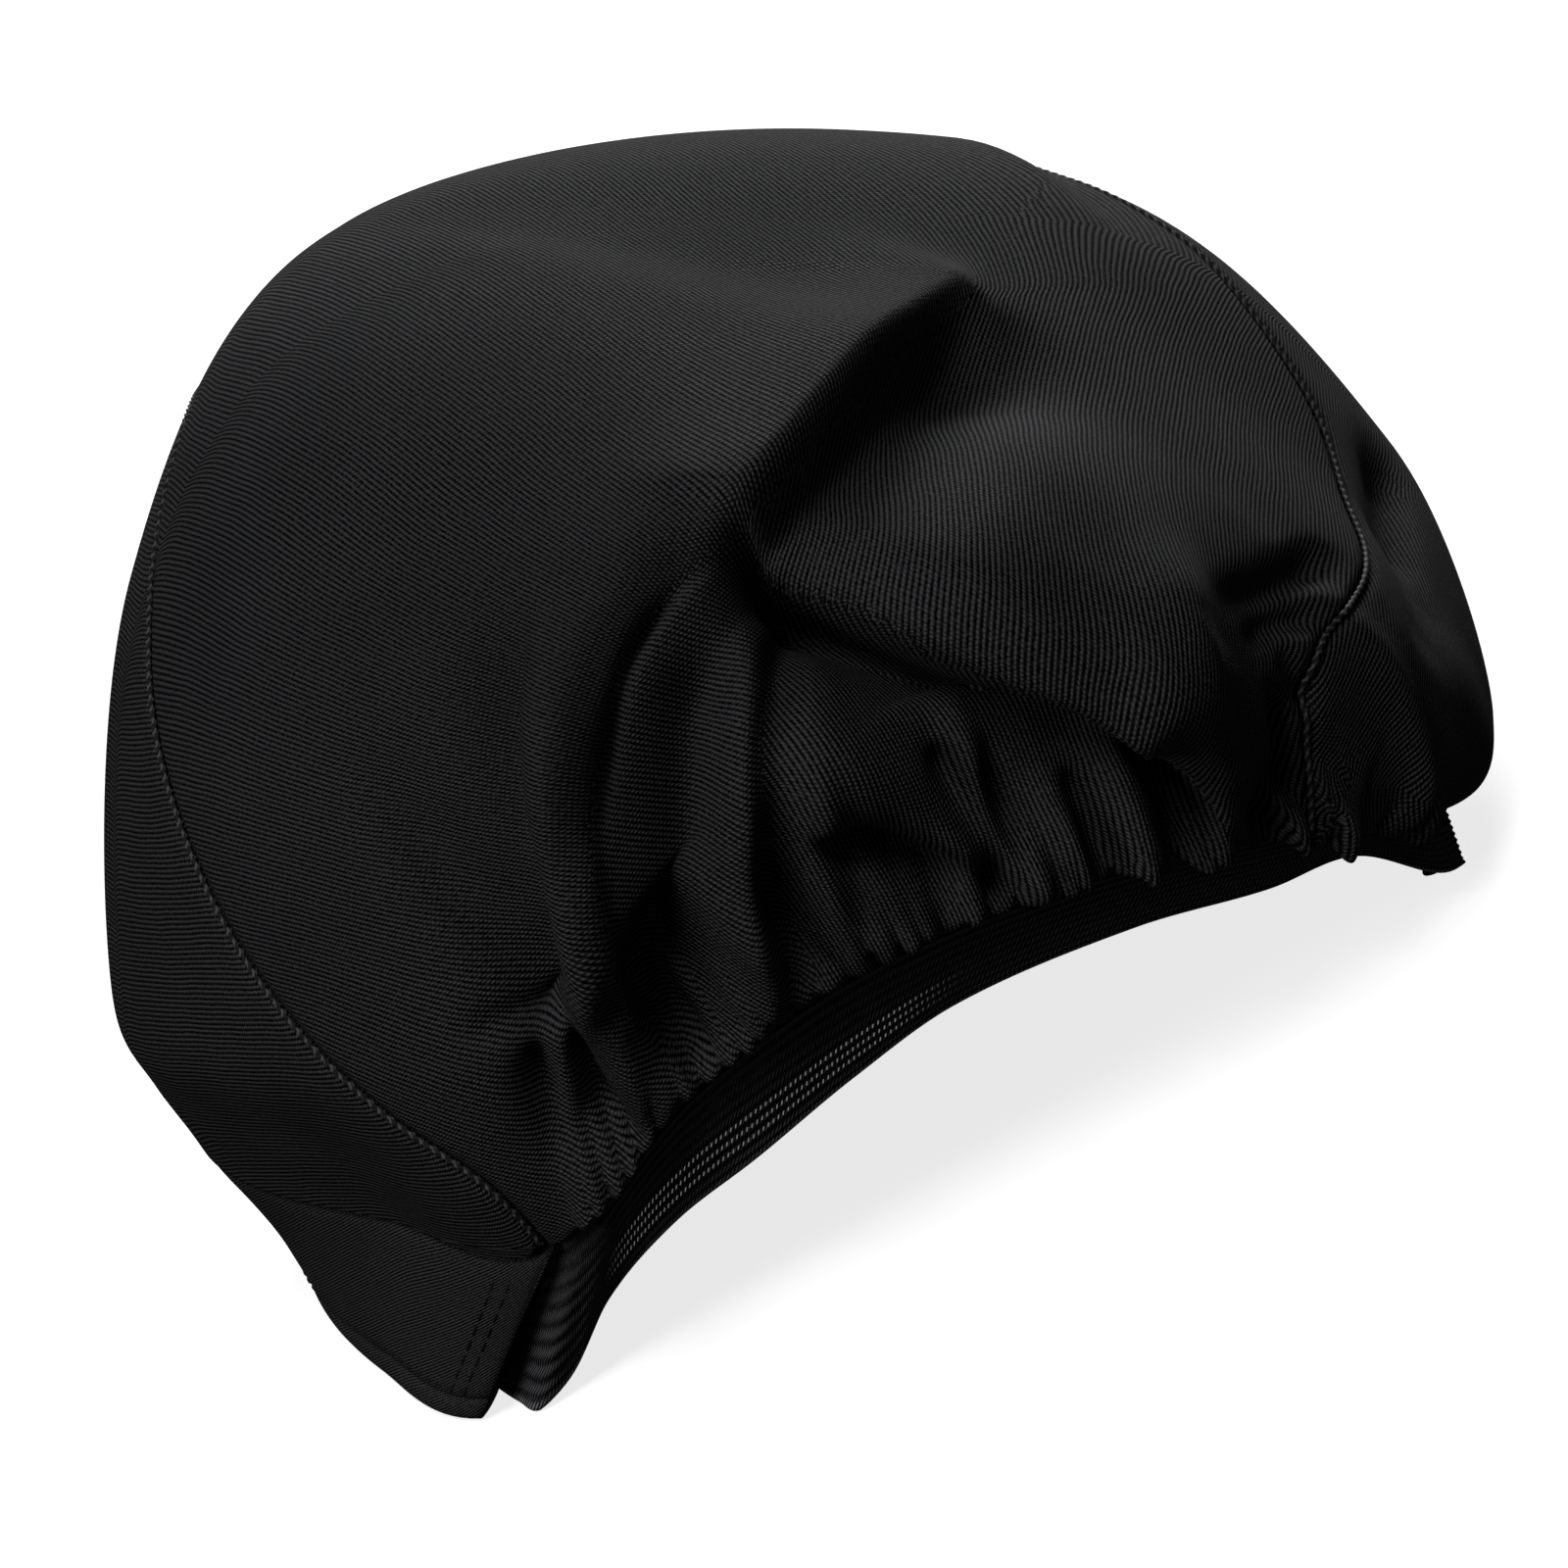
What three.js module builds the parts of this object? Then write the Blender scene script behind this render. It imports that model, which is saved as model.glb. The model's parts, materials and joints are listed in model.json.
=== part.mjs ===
// A soft three-panel skull cap of black cotton twill, standing on its rim.
// Millimetres, +Z up. The wearer faces -Y, the elastic nape is at +Y and the wearer's left is +X.

import * as THREE from 'three';

// Driving sizes
const CLOTH = 1.4; // wall of a crown panel, two turned layers at the seams
const BAND_CLOTH = 2.2; // folded front band
const HEM_CLOTH = 3.2; // its rolled lower edge
const ELASTIC_CLOTH = 1.4; // ribbed nape elastic
const PIECE_GAP = 0.35; // clear space between sewn pieces
const CROWN_HEIGHT = 141;

// Centres that each level of the crown is measured out from
const RIM_CENTRE = new THREE.Vector2(0, -20);
const BELLY_CENTRE = new THREE.Vector2(-2, -18);
const SHOULDER_CENTRE = new THREE.Vector2(8, -18);
const APEX = new THREE.Vector2(18, -16);
const CENTRES = [RIM_CENTRE, RIM_CENTRE, RIM_CENTRE, BELLY_CENTRE, SHOULDER_CENTRE, APEX];

const table = (columns, rows) =>
  rows.map((row) => Object.fromEntries(columns.map((name, index) => [name, row[index]])));

const spread = (count, from, to) =>
  Array.from({ length: count + 1 }, (_, i) => from + (to - from) * i / count);

// The crown's lower edge: on the elastic at the nape, on the front band from ear to ear.
// turn is in degrees from the nape towards the wearer's left.
const RIM_LINE = table(['turn', 'out', 'up'], [
  [-135, 82, 27],
  [-90, 95, 25],
  [-60, 101, 12],
  [-45, 107, 12],
  [-28, 108, 29],
  [-12, 105.5, 41],
  [6, 105, 46],
  [20, 107, 41],
  [36, 110, 26],
  [54, 100, 28],
  [90, 99.5, 30],
  [135, 85, 30],
  [180, 75, 29],
]);

// Crown sections. The lip and the roll are measured from the rim line, the belly and the shoulder
// from their own centres and the floor. Beside the elastic's right end the cloth rolls down past
// the rim before it rises.
const CROWN_SECTIONS = table(
  ['turn', 'lipOut', 'lipUp', 'rollOut', 'rollUp', 'bellyOut', 'bellyUp', 'shoulderOut', 'shoulderUp'], [
    [-135, 2, 4, 5, 10, 91, 56, 69, 106],
    [-90, 3.5, -6, 6.5, -3, 102, 40, 87, 97],
    [-60, 3, -6, 6, -2, 104, 37, 84, 93],
    [-45, 3.5, -4, 6.5, 1, 112, 42, 84, 96],
    [-28, 2.5, 3, 4.5, 10, 112, 60, 85.5, 107],
    [0, 1.5, 6.5, 3.5, 14, 110, 80, 86, 114],
    [36, 1.5, 5, 3.5, 14, 113, 63, 80, 112],
    [60, 0.5, 4.5, 2, 12.5, 105, 61, 72, 109],
    [90, 0.5, 5, 1.5, 13, 102, 57, 62, 109],
    [135, 1, 5, 3, 13, 91, 63, 55, 110],
    [180, 1, 5, 3, 13, 82, 61, 56, 108],
  ]);
const LEVELS = [0, 0.045, 0.09, 0.24, 0.56, 1]; // rim, lip, roll, belly, shoulder, highest point
const TOP = LEVELS.length - 1;

// Lower edge of the front band, on the floor, and of the elastic, which arches up at the nape
const BAND_HEM = table(['turn', 'out'], [
  [-135, 82],
  [-90, 92],
  [-62, 94],
  [-50, 99],
  [-45, 102.5],
  [45, 110],
  [52, 110],
  [66, 102],
  [90, 95],
  [135, 83],
  [180, 73],
]);
const ELASTIC_HEM = table(['turn', 'out', 'up'], [
  [-48, 106, 0],
  [-44, 105, 2],
  [-36, 103, 15],
  [-28, 100.5, 19.5],
  [-16, 98, 27],
  [0, 96, 31],
  [10, 96.5, 28.5],
  [20, 98.5, 24],
  [28, 100.5, 20],
  [36, 102.5, 12],
  [42, 104.2, 2.5],
  [46.5, 103.3, 0],
  [51, 106, 0],
]);

// How far the two seams lie from the middle of the disc, from the nape (1) to the brow (-1)
const SEAMS = table(['along', 'left', 'right'], [
  [1, 0.585, 0.485],
  [0.88, 0.545, 0.465],
  [0.72, 0.56, 0.445],
  [0.5, 0.54, 0.56],
  [0.3, 0.47, 0.6],
  [0.12, 0.36, 0.55],
  [-0.05, 0.26, 0.48],
  [-0.5, 0.32, 0.44],
  [-1, 0.5, 0.5],
]);

// Smooth curve through the named column of a table, by cubic pieces with averaged slopes
function smoothColumn(rows, key, column, period = 0) {
  const keys = rows.map((row) => row[key]);
  const values = rows.map((row) => row[column]);
  if (keys[0] > keys[keys.length - 1]) {
    keys.reverse();
    values.reverse();
  }
  if (period) {
    keys.unshift(keys[keys.length - 1] - period);
    values.unshift(values[values.length - 1]);
    keys.push(keys[1] + period, keys[2] + period);
    values.push(values[1], values[2]);
  }
  const last = keys.length - 1;
  const rise = (i) => (values[i + 1] - values[i]) / (keys[i + 1] - keys[i]);
  const slope = (i) => {
    if (i === 0) return rise(0);
    if (i === last) return rise(last - 1);
    return (rise(i - 1) + rise(i)) / 2;
  };
  const slopes = keys.map((_, i) => slope(i));
  return (x) => {
    const place = period ? THREE.MathUtils.euclideanModulo(x - keys[0], period) + keys[0] : x;
    let i = 0;
    while (i < last - 1 && place > keys[i + 1]) i += 1;
    const span = keys[i + 1] - keys[i];
    const u = THREE.MathUtils.clamp((place - keys[i]) / span, 0, 1);
    const v = 1 - u;
    return values[i] * v * v * (1 + 2 * u) + values[i + 1] * u * u * (3 - 2 * u)
      + span * (slopes[i] * u * v * v - slopes[i + 1] * u * u * v);
  };
}

const rimOut = smoothColumn(RIM_LINE, 'turn', 'out', 360);
const rimUp = smoothColumn(RIM_LINE, 'turn', 'up', 360);
const section = Object.fromEntries(
  ['lipOut', 'lipUp', 'rollOut', 'rollUp', 'bellyOut', 'bellyUp', 'shoulderOut', 'shoulderUp']
    .map((name) => [name, smoothColumn(CROWN_SECTIONS, 'turn', name, 360)]));
const bandHem = smoothColumn(BAND_HEM, 'turn', 'out', 360);
const elasticHemOut = smoothColumn(ELASTIC_HEM, 'turn', 'out');
const elasticHemUp = smoothColumn(ELASTIC_HEM, 'turn', 'up');
const leftSeam = smoothColumn(SEAMS, 'along', 'left');
const rightSeam = smoothColumn(SEAMS, 'along', 'right');

// Cubic through the levels, with a given slope at the top
function throughLevels(values, endSlope, t) {
  let i = 0;
  while (i < TOP - 1 && t > LEVELS[i + 1]) i += 1;
  const rise = (k) => (values[k + 1] - values[k]) / (LEVELS[k + 1] - LEVELS[k]);
  const slope = (k) => {
    if (k === 0) return rise(0);
    if (k === TOP) return endSlope;
    return (rise(k - 1) + rise(k)) / 2;
  };
  const span = LEVELS[i + 1] - LEVELS[i];
  const u = THREE.MathUtils.clamp((t - LEVELS[i]) / span, 0, 1);
  const v = 1 - u;
  return values[i] * v * v * (1 + 2 * u) + values[i + 1] * u * u * (3 - 2 * u)
    + span * (slope(i) * u * v * v - slope(i + 1) * u * u * v);
}

// The smooth crown over the unit disc: side is towards the wearer's left, back towards the nape
function smoothCrown(side, back) {
  const reach = Math.min(1, Math.hypot(side, back));
  const t = 1 - reach;
  const turn = THREE.MathUtils.radToDeg(Math.atan2(side, back));
  const edgeOut = rimOut(turn);
  const edgeUp = rimUp(turn);
  const out = [edgeOut, edgeOut + section.lipOut(turn), edgeOut + section.rollOut(turn),
    section.bellyOut(turn), section.shoulderOut(turn), 0];
  const up = [edgeUp, edgeUp + section.lipUp(turn), edgeUp + section.rollUp(turn),
    section.bellyUp(turn), section.shoulderUp(turn), CROWN_HEIGHT];
  const topSlope = -section.shoulderOut(turn) / (1 - LEVELS[TOP - 1]);
  const r = throughLevels(out, topSlope, t);
  const z = throughLevels(up, 0, t);
  const centreX = throughLevels(CENTRES.map((centre) => centre.x), 0, t);
  const centreY = throughLevels(CENTRES.map((centre) => centre.y), 0, t);
  const angle = THREE.MathUtils.degToRad(turn);
  return new THREE.Vector3(centreX + r * Math.sin(angle), centreY + r * Math.cos(angle), z);
}

const NUDGE = 0.004;
function outwardNormal(surface, side, back) {
  const alongSide = surface(side + NUDGE, back).sub(surface(side - NUDGE, back));
  const alongBack = surface(side, back + NUDGE).sub(surface(side, back - NUDGE));
  return alongSide.cross(alongBack).normalize();
}

// Folds of the slack cloth. Each follows a path over the disc, as [side, back] places. deep is how
// far it goes in (a ridge is below 0), left and right are the widths of its slopes seen from outside
// while walking the path, lean moves the cloth over to the left, and fades are shares of the path.
const FOLDS = table(['path', 'deep', 'left', 'right', 'lean', 'fadeIn', 'fadeOut'], [
  // crest that falls from the peak in the middle of the back and goes on down the left lobe
  [[[-0.33, 0.19], [-0.27, 0.26], [-0.18, 0.38], [-0.1, 0.46], [-0.01, 0.51], [0.08, 0.54],
    [0.16, 0.58], [0.23, 0.64], [0.29, 0.69], [0.33, 0.77]], -3, 8, 16, 2, 0.05, 0.15],
  [[[-0.33, 0.19], [-0.27, 0.26], [-0.18, 0.38], [-0.1, 0.46], [-0.03, 0.5]], -3.5, 8, 20, 1, 0.15, 0.5],
  // hollow beside the upper crest
  [[[-0.38, 0.27], [-0.31, 0.39], [-0.22, 0.48], [-0.13, 0.53]], 6, 26, 10, 0, 0.4, 0.2],
  // long crease beside the left lobe
  [[[-0.05, 0.5], [0.06, 0.56], [0.11, 0.58], [0.18, 0.64], [0.24, 0.69], [0.3, 0.76], [0.33, 0.87]],
    4, 4.5, 4, 1.5, 0.1, 0.1],
  // soft valley in the middle and the lit fold to its right
  [[[-0.02, 0.57], [0.04, 0.64], [0.11, 0.7], [0.18, 0.75], [0.24, 0.8], [0.28, 0.88]],
    4.5, 8, 8, 0, 0.3, 0.1],
  [[[-0.05, 0.62], [0.01, 0.67], [0.08, 0.74], [0.14, 0.81], [0.18, 0.9]], -4, 5, 6, 0, 0.35, 0.15],
  // two hollows on the left cheek with a soft ridge between them and the seam
  [[[0.11, 0.44], [0.16, 0.52], [0.22, 0.58], [0.28, 0.64], [0.32, 0.69], [0.37, 0.77]],
    6, 7, 18, 0, 0.5, 0.2],
  [[[0.27, 0.48], [0.3, 0.54], [0.32, 0.6], [0.34, 0.67], [0.37, 0.76], [0.38, 0.82]],
    3.5, 6, 9, 0, 0.4, 0.2],
  // upper right lobe, hanging over the recess below it
  [[[-0.1, 0.44], [-0.15, 0.51], [-0.18, 0.59], [-0.21, 0.65], [-0.26, 0.68], [-0.32, 0.72], [-0.39, 0.78]],
    -7, 24, 10, -5, 0.4, 0.25],
  [[[-0.05, 0.51], [-0.06, 0.59], [-0.09, 0.66], [-0.13, 0.72], [-0.18, 0.76], [-0.24, 0.79], [-0.31, 0.83]],
    9, 9, 15, 3, 0.12, 0.35],
  // broad fold that rises from the elastic into that recess
  [[[0.02, 0.76], [0.01, 0.83], [-0.04, 0.91], [-0.08, 0.97]], -3.5, 7, 7, 0, 0.4, 0.2],
  // ridge and valley that run down to the elastic beside the right seam, and a dent above them
  [[[-0.34, 0.56], [-0.32, 0.66], [-0.34, 0.75], [-0.4, 0.81]], -4, 5, 10, 0, 0.3, 0.2],
  [[[-0.36, 0.62], [-0.37, 0.7], [-0.41, 0.76], [-0.45, 0.81]], 5, 5, 5, 0, 0.3, 0.2],
  [[[-0.34, 0.64], [-0.4, 0.58], [-0.47, 0.49]], 4, 5, 6, 0, 0.3, 0.3],
  // hollow in the right side panel
  [[[-0.66, 0.25], [-0.59, 0.4], [-0.55, 0.52], [-0.54, 0.62]], 4, 12, 10, 0, 0.3, 0.3],
]);
const PATH_STEPS = 28;
for (const fold of FOLDS) {
  const curve = new THREE.CatmullRomCurve3(
    fold.path.map(([side, back]) => new THREE.Vector3(side, back, 0)));
  const places = curve.getPoints(PATH_STEPS);
  fold.points = places.map((place) => smoothCrown(place.x, place.y));
  fold.leftwards = places.map((place, i) => {
    const before = fold.points[Math.max(0, i - 1)];
    const after = fold.points[Math.min(PATH_STEPS, i + 1)];
    const normal = outwardNormal(smoothCrown, place.x, place.y);
    return normal.cross(after.clone().sub(before)).normalize();
  });
}

// How far a fold moves a point of the smooth crown, out along the normal and over to one side.
// The foot of the point on the path is a soft average of the path's nearest points.
const FOOT_SOFTNESS = 5;
const HAND_BLEND = 5; // the two slopes' widths pass into each other over this distance
function foldShift(fold, point, normal) {
  const squares = fold.points.map((place) => place.distanceToSquared(point));
  const least = Math.min(...squares);
  const foot = new THREE.Vector3();
  const leftward = new THREE.Vector3();
  let share = 0;
  let total = 0;
  squares.forEach((square, i) => {
    const weight = Math.exp((least - square) / (2 * FOOT_SOFTNESS ** 2));
    foot.addScaledVector(fold.points[i], weight);
    leftward.addScaledVector(fold.leftwards[i], weight);
    share += weight * i / PATH_STEPS;
    total += weight;
  });
  foot.divideScalar(total);
  share /= total;
  leftward.normalize();
  const away = point.clone().sub(foot);
  const hand = THREE.MathUtils.smoothstep(away.dot(leftward), -HAND_BLEND, HAND_BLEND);
  const width = THREE.MathUtils.lerp(fold.right, fold.left, hand);
  const strength = Math.exp(-away.lengthSq() / width ** 2)
    * THREE.MathUtils.smoothstep(share, 0, fold.fadeIn)
    * THREE.MathUtils.smoothstep(1 - share, 0, fold.fadeOut);
  return normal.clone().multiplyScalar(-fold.deep * strength)
    .addScaledVector(leftward, fold.lean * strength);
}

// Gathers where the slack cloth is sewn to the stretched elastic
const GATHERS = {
  count: 13,
  from: -43, // degrees from the nape
  to: 35,
  out: 1.7,
  width: 1.9, // degrees
  start: 0.025, // share of the way to the top at which a gather has its full height
  reach: 0.09,
  unevenStep: { share: 0.22, turnPer: 2.4 },
  unevenReach: { base: 1.3, share: 0.5, turnPer: 1.7, turnFrom: 1 },
  drift: { degrees: 40, turnPer: 0.9 },
};
function gatherOut(turn, t) {
  const { unevenStep, unevenReach, drift } = GATHERS;
  const pitch = (GATHERS.to - GATHERS.from) / GATHERS.count;
  let out = 0;
  for (let i = 0; i < GATHERS.count; i += 1) {
    const step = i + 0.5 + unevenStep.share * Math.sin(unevenStep.turnPer * i);
    const swing = Math.sin(unevenReach.turnPer * i + unevenReach.turnFrom);
    const reach = GATHERS.reach * (unevenReach.base + unevenReach.share * swing);
    const middle = GATHERS.from + pitch * step + drift.degrees * t * Math.sin(drift.turnPer * i);
    out += GATHERS.out * Math.exp(-(((turn - middle) / GATHERS.width) ** 2))
      * THREE.MathUtils.smoothstep(t, 0, GATHERS.start) * Math.exp(-((t / reach) ** 2));
  }
  return out;
}

// The folds fade out over this share of the way up from the rim
const FOLD_START = 0.05;

function crownSurface(side, back) {
  const point = smoothCrown(side, back);
  const normal = outwardNormal(smoothCrown, side, back);
  const moved = point.clone();
  const rim = 1 - Math.min(1, Math.hypot(side, back));
  const hold = THREE.MathUtils.smoothstep(rim, 0, FOLD_START);
  for (const fold of FOLDS) moved.addScaledVector(foldShift(fold, point, normal), hold);
  const turn = THREE.MathUtils.radToDeg(Math.atan2(side, back));
  return moved.addScaledVector(normal, gatherOut(turn, rim));
}

// A closed wall between an outer grid and an inner one
function wallFromGrid(outer, inner) {
  const rows = outer.length;
  const columns = outer[0].length;
  const points = [];
  const put = (point) => points.push(point) - 1;
  const outside = outer.map((row) => row.map(put));
  const inside = inner.map((row) => row.map(put));
  const faces = [];
  const quad = (a, b, c, d) => {
    const acrossAC = points[a].distanceToSquared(points[c]);
    const acrossBD = points[b].distanceToSquared(points[d]);
    if (acrossAC <= acrossBD) faces.push(a, b, c, a, c, d);
    else faces.push(b, c, d, b, d, a);
  };
  for (let i = 0; i < rows - 1; i += 1) {
    for (let j = 0; j < columns - 1; j += 1) {
      quad(outside[i][j], outside[i][j + 1], outside[i + 1][j + 1], outside[i + 1][j]);
      quad(inside[i][j], inside[i + 1][j], inside[i + 1][j + 1], inside[i][j + 1]);
    }
  }
  for (let j = 0; j < columns - 1; j += 1) {
    quad(outside[0][j + 1], outside[0][j], inside[0][j], inside[0][j + 1]);
    quad(outside[rows - 1][j], outside[rows - 1][j + 1], inside[rows - 1][j + 1], inside[rows - 1][j]);
  }
  for (let i = 0; i < rows - 1; i += 1) {
    quad(outside[i][0], outside[i + 1][0], inside[i + 1][0], inside[i][0]);
    quad(outside[i + 1][columns - 1], outside[i][columns - 1], inside[i][columns - 1],
      inside[i + 1][columns - 1]);
  }
  const geometry = new THREE.BufferGeometry();
  geometry.setFromPoints(points);
  geometry.setIndex(faces);
  return geometry;
}

// Cloth over a grid of places. The inner face lies halfway between straight under the folds and
// straight under the smooth crown, so that it doesn't cross itself in a tight fold.
function clothGrid(places) {
  const outer = places.map((row) => row.map(([side, back]) => crownSurface(side, back)));
  const inner = places.map((row, i) => row.map(([side, back], j) => {
    const inward = outwardNormal(crownSurface, side, back)
      .add(outwardNormal(smoothCrown, side, back))
      .normalize();
    return outer[i][j].clone().addScaledVector(inward, -CLOTH);
  }));
  return wallFromGrid(outer, inner);
}

const RIM_REACH = 0.997;

// A place on the disc, from how far along the centre panel and where between the seams
function centrePlace(across, along) {
  const side = THREE.MathUtils.lerp(-rightSeam(along), leftSeam(along), across);
  return [side * RIM_REACH, along * Math.sqrt(1 - side * side) * RIM_REACH];
}

const CENTRE_COLUMNS = 42;
// Rows lie closest together where the folds are
const ROWS = [1];
for (const zone of table(['to', 'rows'], [[0.9, 3], [0.15, 24], [-0.15, 4], [-1, 5]])) {
  ROWS.push(...spread(zone.rows, ROWS[ROWS.length - 1], zone.to).slice(1));
}
const SEAM_INSET = 0.002;
function centrePanel() {
  return clothGrid(ROWS.map((along) => spread(CENTRE_COLUMNS, 1 - SEAM_INSET, SEAM_INSET)
    .map((across) => centrePlace(across, along))));
}

// A side panel runs from the seam to the rim; its columns meet the seam where the rows do
const SIDE_ROWS = 12;
const SIDE_END = 0.98;
const END_CLEARANCE = 0.01;
const SIDE_ALONG = [
  SIDE_END,
  ...ROWS.filter((along) => Math.abs(along) < SIDE_END - END_CLEARANCE),
  -SIDE_END,
];
const CORNER_GAP = THREE.MathUtils.degToRad(1.5);
function sidePanel(hand) {
  const across = hand > 0 ? 1 + SEAM_INSET : -SEAM_INSET;
  const rimAngle = (along) => {
    const [side, back] = centrePlace(hand > 0 ? 1 : 0, along);
    return Math.atan2(side * hand, back);
  };
  const from = rimAngle(1) + CORNER_GAP;
  const to = rimAngle(-1) - CORNER_GAP;
  const places = SIDE_ALONG.map((along) => {
    const seamPlace = centrePlace(across, along);
    const angle = THREE.MathUtils.mapLinear(along, SIDE_END, -SIDE_END, from, to);
    const rimPlace = [Math.sin(angle) * RIM_REACH * hand, Math.cos(angle) * RIM_REACH];
    return spread(SIDE_ROWS, 0, 1).map((down) => [
      THREE.MathUtils.lerp(seamPlace[0], rimPlace[0], down),
      THREE.MathUtils.lerp(seamPlace[1], rimPlace[1], down),
    ]);
  });
  if (hand > 0) places.reverse();
  return clothGrid(places);
}

// A point on a strip below the crown's edge: 0 at its lower edge, 1 at the crown
const polar = (turn, out, up) => {
  const angle = THREE.MathUtils.degToRad(turn);
  return new THREE.Vector3(RIM_CENTRE.x + out * Math.sin(angle), RIM_CENTRE.y + out * Math.cos(angle), up);
};

function strip(lowPoint, topPoint, steps, rises, thickness) {
  const outer = steps.map((step) => rises.map((rise) =>
    lowPoint(step).lerp(topPoint(step), rise)));
  const inner = outer.map((row, i) => row.map((point, j) => {
    const before = outer[Math.max(0, i - 1)][j];
    const after = outer[Math.min(steps.length - 1, i + 1)][j];
    const along = after.clone().sub(before);
    const upward = row[row.length - 1].clone().sub(row[0]);
    const inward = along.cross(upward).normalize();
    const levelShare = 4 * rises[j] * (1 - rises[j]); // the wall stays level at its two edges
    inward.z *= levelShare;
    inward.normalize();
    return point.clone().addScaledVector(inward, thickness(rises[j]));
  }));
  return wallFromGrid(outer, inner);
}

// How much of a bend has been reached at x, from 0 at one place to 1 at the other
const ease = (from, to, x) => THREE.MathUtils.smoothstep((x - from) / (to - from), 0, 1);

// The band covers the elastic's left end, and the elastic covers the band's right end
const BAND_ENDS = { leftTop: 36, leftLow: 50, rightTop: -43, rightLow: -46.5 };
const BAND_STEPS = 72;
const BAND_RISES = [0, 0.12, 0.5, 1];
const HEM_RISE = 0.2;
const RIGHT_TUCK = { in: ELASTIC_CLOTH + PIECE_GAP, from: 360 - 125, to: 360 - 105 };
function frontBand() {
  const lowPoint = (step) => {
    const turn = THREE.MathUtils.lerp(BAND_ENDS.leftLow, 360 + BAND_ENDS.rightLow, step);
    return polar(turn, bandHem(turn), 0);
  };
  const topPoint = (step) => {
    const turn = THREE.MathUtils.lerp(BAND_ENDS.leftTop, 360 + BAND_ENDS.rightTop, step);
    const tuck = RIGHT_TUCK.in * ease(RIGHT_TUCK.from, RIGHT_TUCK.to, turn);
    return polar(turn, rimOut(turn) - tuck, rimUp(turn) - PIECE_GAP);
  };
  return strip(lowPoint, topPoint, spread(BAND_STEPS, 0, 1), BAND_RISES,
    (rise) => (rise < HEM_RISE ? HEM_CLOTH : BAND_CLOTH));
}

const ELASTIC_ENDS = { leftTop: 38.5, leftLow: 51, rightTop: -44.5, rightLow: -45.5 };
const ELASTIC_STEPS = 44;
const ELASTIC_RISES = [0, 0.5, 1];
const LEFT_TUCK = { in: BAND_CLOTH + PIECE_GAP, from: 28, to: 35 };
function elasticBand() {
  const lowPoint = (step) => {
    const turn = THREE.MathUtils.lerp(ELASTIC_ENDS.rightLow, ELASTIC_ENDS.leftLow, step);
    return polar(turn, elasticHemOut(turn), Math.max(0, elasticHemUp(turn)));
  };
  const topPoint = (step) => {
    const turn = THREE.MathUtils.lerp(ELASTIC_ENDS.rightTop, ELASTIC_ENDS.leftTop, step);
    const tuck = LEFT_TUCK.in * ease(LEFT_TUCK.from, LEFT_TUCK.to, turn);
    return polar(turn, rimOut(turn) - tuck, rimUp(turn) - PIECE_GAP);
  };
  return strip(lowPoint, topPoint, spread(ELASTIC_STEPS, 0, 1), ELASTIC_RISES, () => ELASTIC_CLOTH);
}

const twill = new THREE.MeshStandardMaterial({ color: 0x17171a, roughness: 0.9, metalness: 0 });
const bandTwill = new THREE.MeshStandardMaterial({ color: 0x18181b, roughness: 0.88, metalness: 0 });
const ribbedElastic = new THREE.MeshStandardMaterial({ color: 0x0d0d0f, roughness: 0.7, metalness: 0 });

const cap = new THREE.Group();
function addPiece(name, geometry, material) {
  const piece = new THREE.Mesh(geometry, material);
  piece.name = name;
  cap.add(piece);
}

addPiece('centre_panel', centrePanel(), twill);
addPiece('side_panel_left', sidePanel(1), twill);
addPiece('side_panel_right', sidePanel(-1), twill);
addPiece('front_band', frontBand(), bandTwill);
addPiece('elastic_band', elasticBand(), ribbedElastic);

// The cap stands over the middle of its own box
const box = new THREE.Box3().setFromObject(cap);
const middle = box.getCenter(new THREE.Vector3());
for (const piece of cap.children) piece.geometry.translate(-middle.x, -middle.y, -box.min.z);

export default cap;
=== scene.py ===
"""Looks of a soft three-panel skull cap of black twill with an elastic nape, seen from behind.

The cloth follows the same sections, seams and folds as the solid it stands for, on a finer grid.
Cloth is worked out in millimetres over a unit disc whose rim is the crown's lower edge: side is
towards the wearer's left, back is towards the nape.
"""

import json
import math

import bmesh
import bpy
import numpy as np
from bpy.props import FloatProperty, FloatVectorProperty, IntProperty, PointerProperty
from mathutils import Matrix, Vector

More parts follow.
